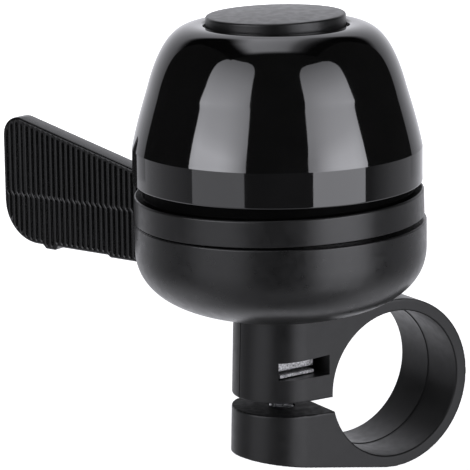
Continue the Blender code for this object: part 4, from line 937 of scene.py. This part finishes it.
# ---- Floor, light and camera ----
CAMERA_AZIMUTH = math.radians(-121.245)
CAMERA_ELEVATION = math.radians(12.722)
CAMERA_DISTANCE = 418.355
CAMERA_ROLL = math.radians(-0.7)
CAMERA_LENS = 218.82
CAMERA_SENSOR = 36
TARGET = Vector((-23.448, 0.068, 24.48))
FLOOR_Z = CLAMP_LOW.z - 47
FLOOR_HALF = 3000
FLOOR_GREY = 0.8
# metres from the middle of the clamp, and the white that is added there for the camera
FLOOR_NEAR = (0.12, 0.62)
FLOOR_FAR = (0.5, 1.0)
ROOM_LIGHT = 0.018
LIGHT_TINT = (0.97, 0.972, 1.03)
LIGHT_HEIGHT = 40.0
PANEL_DISTANCE = 800
PANEL_CORNER = 13


def add_camera():
    """Long lens from the front left, a little above the bell."""
    a, e = CAMERA_AZIMUTH, CAMERA_ELEVATION
    back = Vector((math.cos(a) * math.cos(e), math.sin(a) * math.cos(e), math.sin(e)))
    right = Vector((-math.sin(a), math.cos(a), 0))
    up = back.cross(right)
    c, s = math.cos(CAMERA_ROLL), math.sin(CAMERA_ROLL)
    side, top = right * c + up * s, up * c - right * s
    place = (TARGET + back * CAMERA_DISTANCE) * MM
    camera = bpy.data.objects.new("camera", bpy.data.cameras.new("camera"))
    camera.matrix_world = Matrix((
        (side.x, top.x, back.x, place.x), (side.y, top.y, back.y, place.y),
        (side.z, top.z, back.z, place.z), (0, 0, 0, 1)))
    camera.data.lens = CAMERA_LENS
    camera.data.sensor_width = CAMERA_SENSOR
    camera.data.clip_start = 0.02
    camera.data.clip_end = 20
    bpy.context.scene.collection.objects.link(camera)
    bpy.context.scene.camera = camera


def empty_tree(owner):
    """Clears the node tree of a material or world, and gives the calls that add and link nodes."""
    owner.use_nodes = True
    tree = owner.node_tree
    tree.nodes.clear()
    return lambda kind: tree.nodes.new("ShaderNode" + kind), tree.links.new


def glow_material():
    """Emission of the strength that each point of a light carries."""
    material = bpy.data.materials.new("soft_light")
    new, link = empty_tree(material)
    strength = new("Attribute")
    strength.attribute_name = "glow"
    emission = new("Emission")
    emission.inputs["Color"].default_value = (*LIGHT_TINT, 1)
    output = new("OutputMaterial")
    link(strength.outputs["Fac"], emission.inputs["Strength"])
    link(emission.outputs["Emission"], output.inputs["Surface"])
    return material


def soft_light(name, directions, strength, material, distance):
    """Light surface round the bell. Directions are a grid of (bearing from the camera, elevation)."""
    centre = Vector((AXIS.x, AXIS.y, LIGHT_HEIGHT))
    across = len(directions[0])
    points, values, faces = [], [], []
    for row in directions:
        for bearing, elevation in row:
            angle, e = CAMERA_AZIMUTH + math.radians(bearing), math.radians(elevation)
            points.append((centre.x + distance * math.cos(angle) * math.cos(e),
                           centre.y + distance * math.sin(angle) * math.cos(e),
                           centre.z + distance * math.sin(e)))
            values.append(float(strength(bearing, elevation)))
    for row in range(len(directions) - 1):
        for k in range(across - 1):
            a, b = row * across + k, (row + 1) * across + k
            faces.append([a, a + 1, b + 1, b])
    mesh = bpy.data.meshes.new(name)
    mesh.from_pydata([tuple(v * MM for v in point) for point in points], [], faces)
    mesh.attributes.new("glow", "FLOAT", "POINT").data.foreach_set("value", values)
    light = add_object(name, mesh, material)
    light.visible_camera = False


def interpolate(value, *stops):
    """Straight runs between (place, level) stops."""
    places, levels = zip(*stops)
    return np.interp(value, places, levels)


def direction_grid(bearings, elevations):
    """Grid of (bearing, elevation) directions."""
    return [[(bearing, elevation) for bearing in bearings] for elevation in elevations]


def panel_grid(edges, high):
    """Upright panel with its upper corners rounded. Edges are (elevation, left, right) stops."""
    elevations, lefts, rights = zip(*edges)
    rows = []
    for elevation in np.linspace(elevations[0], high, 40):
        short = max(0.0, elevation - (high - PANEL_CORNER))
        inset = PANEL_CORNER - math.sqrt(max(0.0, PANEL_CORNER ** 2 - short ** 2))
        left, right = (np.interp(elevation, elevations, side) for side in (lefts, rights))
        rows += direction_grid(np.linspace(left + inset, right - inset, 24), [elevation])
    return rows


def panel_strength(stops, sides):
    """Brightness by elevation, and near and above the horizon also by bearing."""
    def strength(bearing, elevation):
        hold = interpolate(elevation, (-6, 0), (6, 1), (13, 1), (18, 0.6), (24, 0.35), (30, 0.2))
        return interpolate(elevation, *stops) * (1 + (interpolate(bearing, *sides) - 1) * hold)
    return strength


def backdrop_strength(bearing, elevation):
    """White wall behind the bell, brightest in its middle and fading at its upper edge."""
    turn = abs((bearing + 180) % 360 - 180)
    level = interpolate(turn, (126, 0.30), (130, 0.42), (140, 0.62), (150, 0.82), (160, 0.98),
                        (170, 1.08), (180, 1.12))
    upper = interpolate(turn, (128, 25), (135, 30), (145, 37), (155, 45), (165, 54), (180, 70))
    level *= interpolate(elevation, (8, 1), (30, 0.74))
    return level * (1 - smoothstep(elevation, upper - 8, upper + 5))


def floor_strength(bearing, elevation):
    """Sweep of the floor, bright behind the bell and dim in front of it, with light from lower down."""
    turn = (bearing + 180) % 360 - 180
    level = interpolate(turn, (-180, 0.95), (-150, 0.85), (-140, 0.78), (-130, 0.66), (-120, 0.45),
                        (-100, 0.28), (-76, 0.17), (-20, 0.045), (20, 0.05), (76, 0.08), (100, 0.30),
                        (120, 0.42), (130, 0.5), (140, 0.65), (150, 0.9), (180, 0.95))
    below = 0.36 + 0.3 * smoothstep(abs(turn), 55, 90) - 0.45 * smoothstep(abs(turn), 100, 135)
    below *= 1 - 0.55 * smoothstep(-elevation, 45, 75)
    return level + below * smoothstep(-elevation, 20, 50)


def overhead_strength(bearing, elevation):
    """Strip of the sweep that is carried forward over the bell and widens to the left towards the front.

    Out and forward are degrees from straight overhead, to the camera's right and towards the camera.
    """
    out = (90 - elevation) * math.sin(math.radians(bearing))
    forward = (90 - elevation) * math.cos(math.radians(bearing))
    edge = interpolate(forward, (-34, -10.0), (-24, -13.0), (-14, -16.5), (0, -19.0))
    level = 1.35 * smoothstep(out, edge - 6, edge + 5.5) * (1 - smoothstep(forward, 10, 20))
    level *= interpolate(out, (-6, 1), (-1, 0.92), (3, 0.84), (6, 0.74), (8, 0.54), (10.5, 0.28),
                         (13.5, 0.18), (17, 0.05), (21, 0))
    back = smoothstep(-forward, 36, 47)
    return level * (1 - back) + backdrop_strength(bearing, elevation) * back


def add_light():
    """Two tall soft panels in front, a white sweep behind, below and overhead, and a dim room.

    Their distances differ a little, so that no two of them share a place.
    """
    glow = glow_material()
    left = panel_grid([(-42, -70.5, -26.5), (-6, -70.5, -26.5), (6, -73.3, -25.3), (14, -73, -25.3),
                       (22, -70.5, -24.8), (30, -71, -24.5), (50, -72, -24.5)], 51)
    left_strength = panel_strength(
        [(-42, 0.5), (-8, 0.77), (1, 1.8), (8, 3.5), (13, 3.7), (17, 2.75), (22, 2.35), (27, 2.0), (32, 1.7),
         (37, 1.45), (42, 1.22), (48, 1.0)],
        [(-74, 0.8), (-68, 0.97), (-48, 1.0), (-42, 0.92), (-37, 0.78), (-31, 0.58), (-26, 0.35)])
    soft_light("panel_left", left, left_strength, glow, PANEL_DISTANCE)
    right = panel_grid([(-42, 26.5, 71), (-8, 26.5, 71), (0, 23, 74), (13, 23, 72.3), (17, 24, 70.8),
                        (22, 24.2, 69.7), (30, 23, 69.5), (48, 22.5, 69.5)], 46.8)
    right_strength = panel_strength(
        [(-42, 1.2), (-9.5, 1.8), (-4, 3.9), (8, 3.9), (13, 3.55), (17, 2.7), (22, 2.35), (27, 1.85),
         (32, 1.5), (37, 1.25), (42, 1.0), (46, 0.85)],
        [(23, 0.4), (29, 0.48), (35, 0.7), (42, 0.9), (50, 1.0), (62, 1.0), (68, 0.9), (74, 0.65)])
    soft_light("panel_right", right, right_strength, glow, PANEL_DISTANCE)
    wall = direction_grid(np.linspace(128, 232, 40), np.linspace(-12, 70, 40))
    soft_light("backdrop", wall, backdrop_strength, glow, PANEL_DISTANCE + 20)
    apron = direction_grid(np.linspace(-180, 180, 91), np.linspace(-89, -4, 24))
    soft_light("floor_sweep", apron, floor_strength, glow, PANEL_DISTANCE + 40)
    strip = []
    for forward in np.linspace(-48, 20, 40):
        strip.append([(math.degrees(math.atan2(out, forward)), 90 - math.hypot(out, forward))
                      for out in np.linspace(-36, 30, 60)])
    soft_light("overhead", strip, overhead_strength, glow, PANEL_DISTANCE - 10)

    world = bpy.data.worlds.new("room")
    bpy.context.scene.world = world
    new, link = empty_tree(world)
    rays, mix, output = new("LightPath"), new("MixShader"), new("OutputWorld")
    link(rays.outputs["Is Camera Ray"], mix.inputs["Fac"])
    # the first is the dim room that lights the bell, the second the white that the camera sees
    for place, strength in ((1, ROOM_LIGHT), (2, 1.0)):
        background = new("Background")
        background.inputs["Color"].default_value = (1, 1, 1, 1)
        background.inputs["Strength"].default_value = strength
        link(background.outputs["Background"], mix.inputs[place])
    link(mix.outputs["Shader"], output.inputs["Surface"])


def add_floor():
    """Plain pale floor below the bell, which the camera sees as white away from the bell."""
    corners = ((-1, -1), (1, -1), (1, 1), (-1, 1))
    points = [(x * FLOOR_HALF, y * FLOOR_HALF, FLOOR_Z) for x, y in corners]
    mesh = bpy.data.meshes.new("floor")
    mesh.from_pydata([tuple(v * MM for v in point) for point in points], [], [(0, 1, 2, 3)])
    material = bpy.data.materials.new("floor_white")
    new, link = empty_tree(material)
    paper, light, both = new("BsdfDiffuse"), new("Emission"), new("AddShader")
    paper.inputs["Color"].default_value = (FLOOR_GREY, FLOOR_GREY, FLOOR_GREY, 1)
    rays, place, output = new("LightPath"), new("NewGeometry"), new("OutputMaterial")
    distance, lift, seen = new("VectorMath"), new("MapRange"), new("Math")
    distance.operation = "LENGTH"
    seen.operation = "MULTIPLY"
    for end, (metres, white) in (("Min", FLOOR_NEAR), ("Max", FLOOR_FAR)):
        lift.inputs["From " + end].default_value = metres
        lift.inputs["To " + end].default_value = white
    link(place.outputs["Position"], distance.inputs[0])
    link(distance.outputs["Value"], lift.inputs["Value"])
    link(lift.outputs["Result"], seen.inputs[0])
    link(rays.outputs["Is Camera Ray"], seen.inputs[1])
    link(seen.outputs["Value"], light.inputs["Strength"])
    link(paper.outputs["BSDF"], both.inputs[0])
    link(light.outputs["Emission"], both.inputs[1])
    link(both.outputs["Shader"], output.inputs["Surface"])
    floor = add_object("floor", mesh, material)
    floor.visible_glossy = False
    floor.visible_shadow = False


# ---- Build ----
for finish, nodes in CARRIED_OVER:
    for node in nodes:
        for material_slot in NODES[node].material_slots:
            material_slot.material = finish

make_dome()
make_cap()
make_cover()
make_bowl()
make_clamp()
make_fasteners()
make_lever()
make_spring()

add_floor()
add_light()
add_camera()
bpy.context.scene.view_settings.view_transform = "Standard"
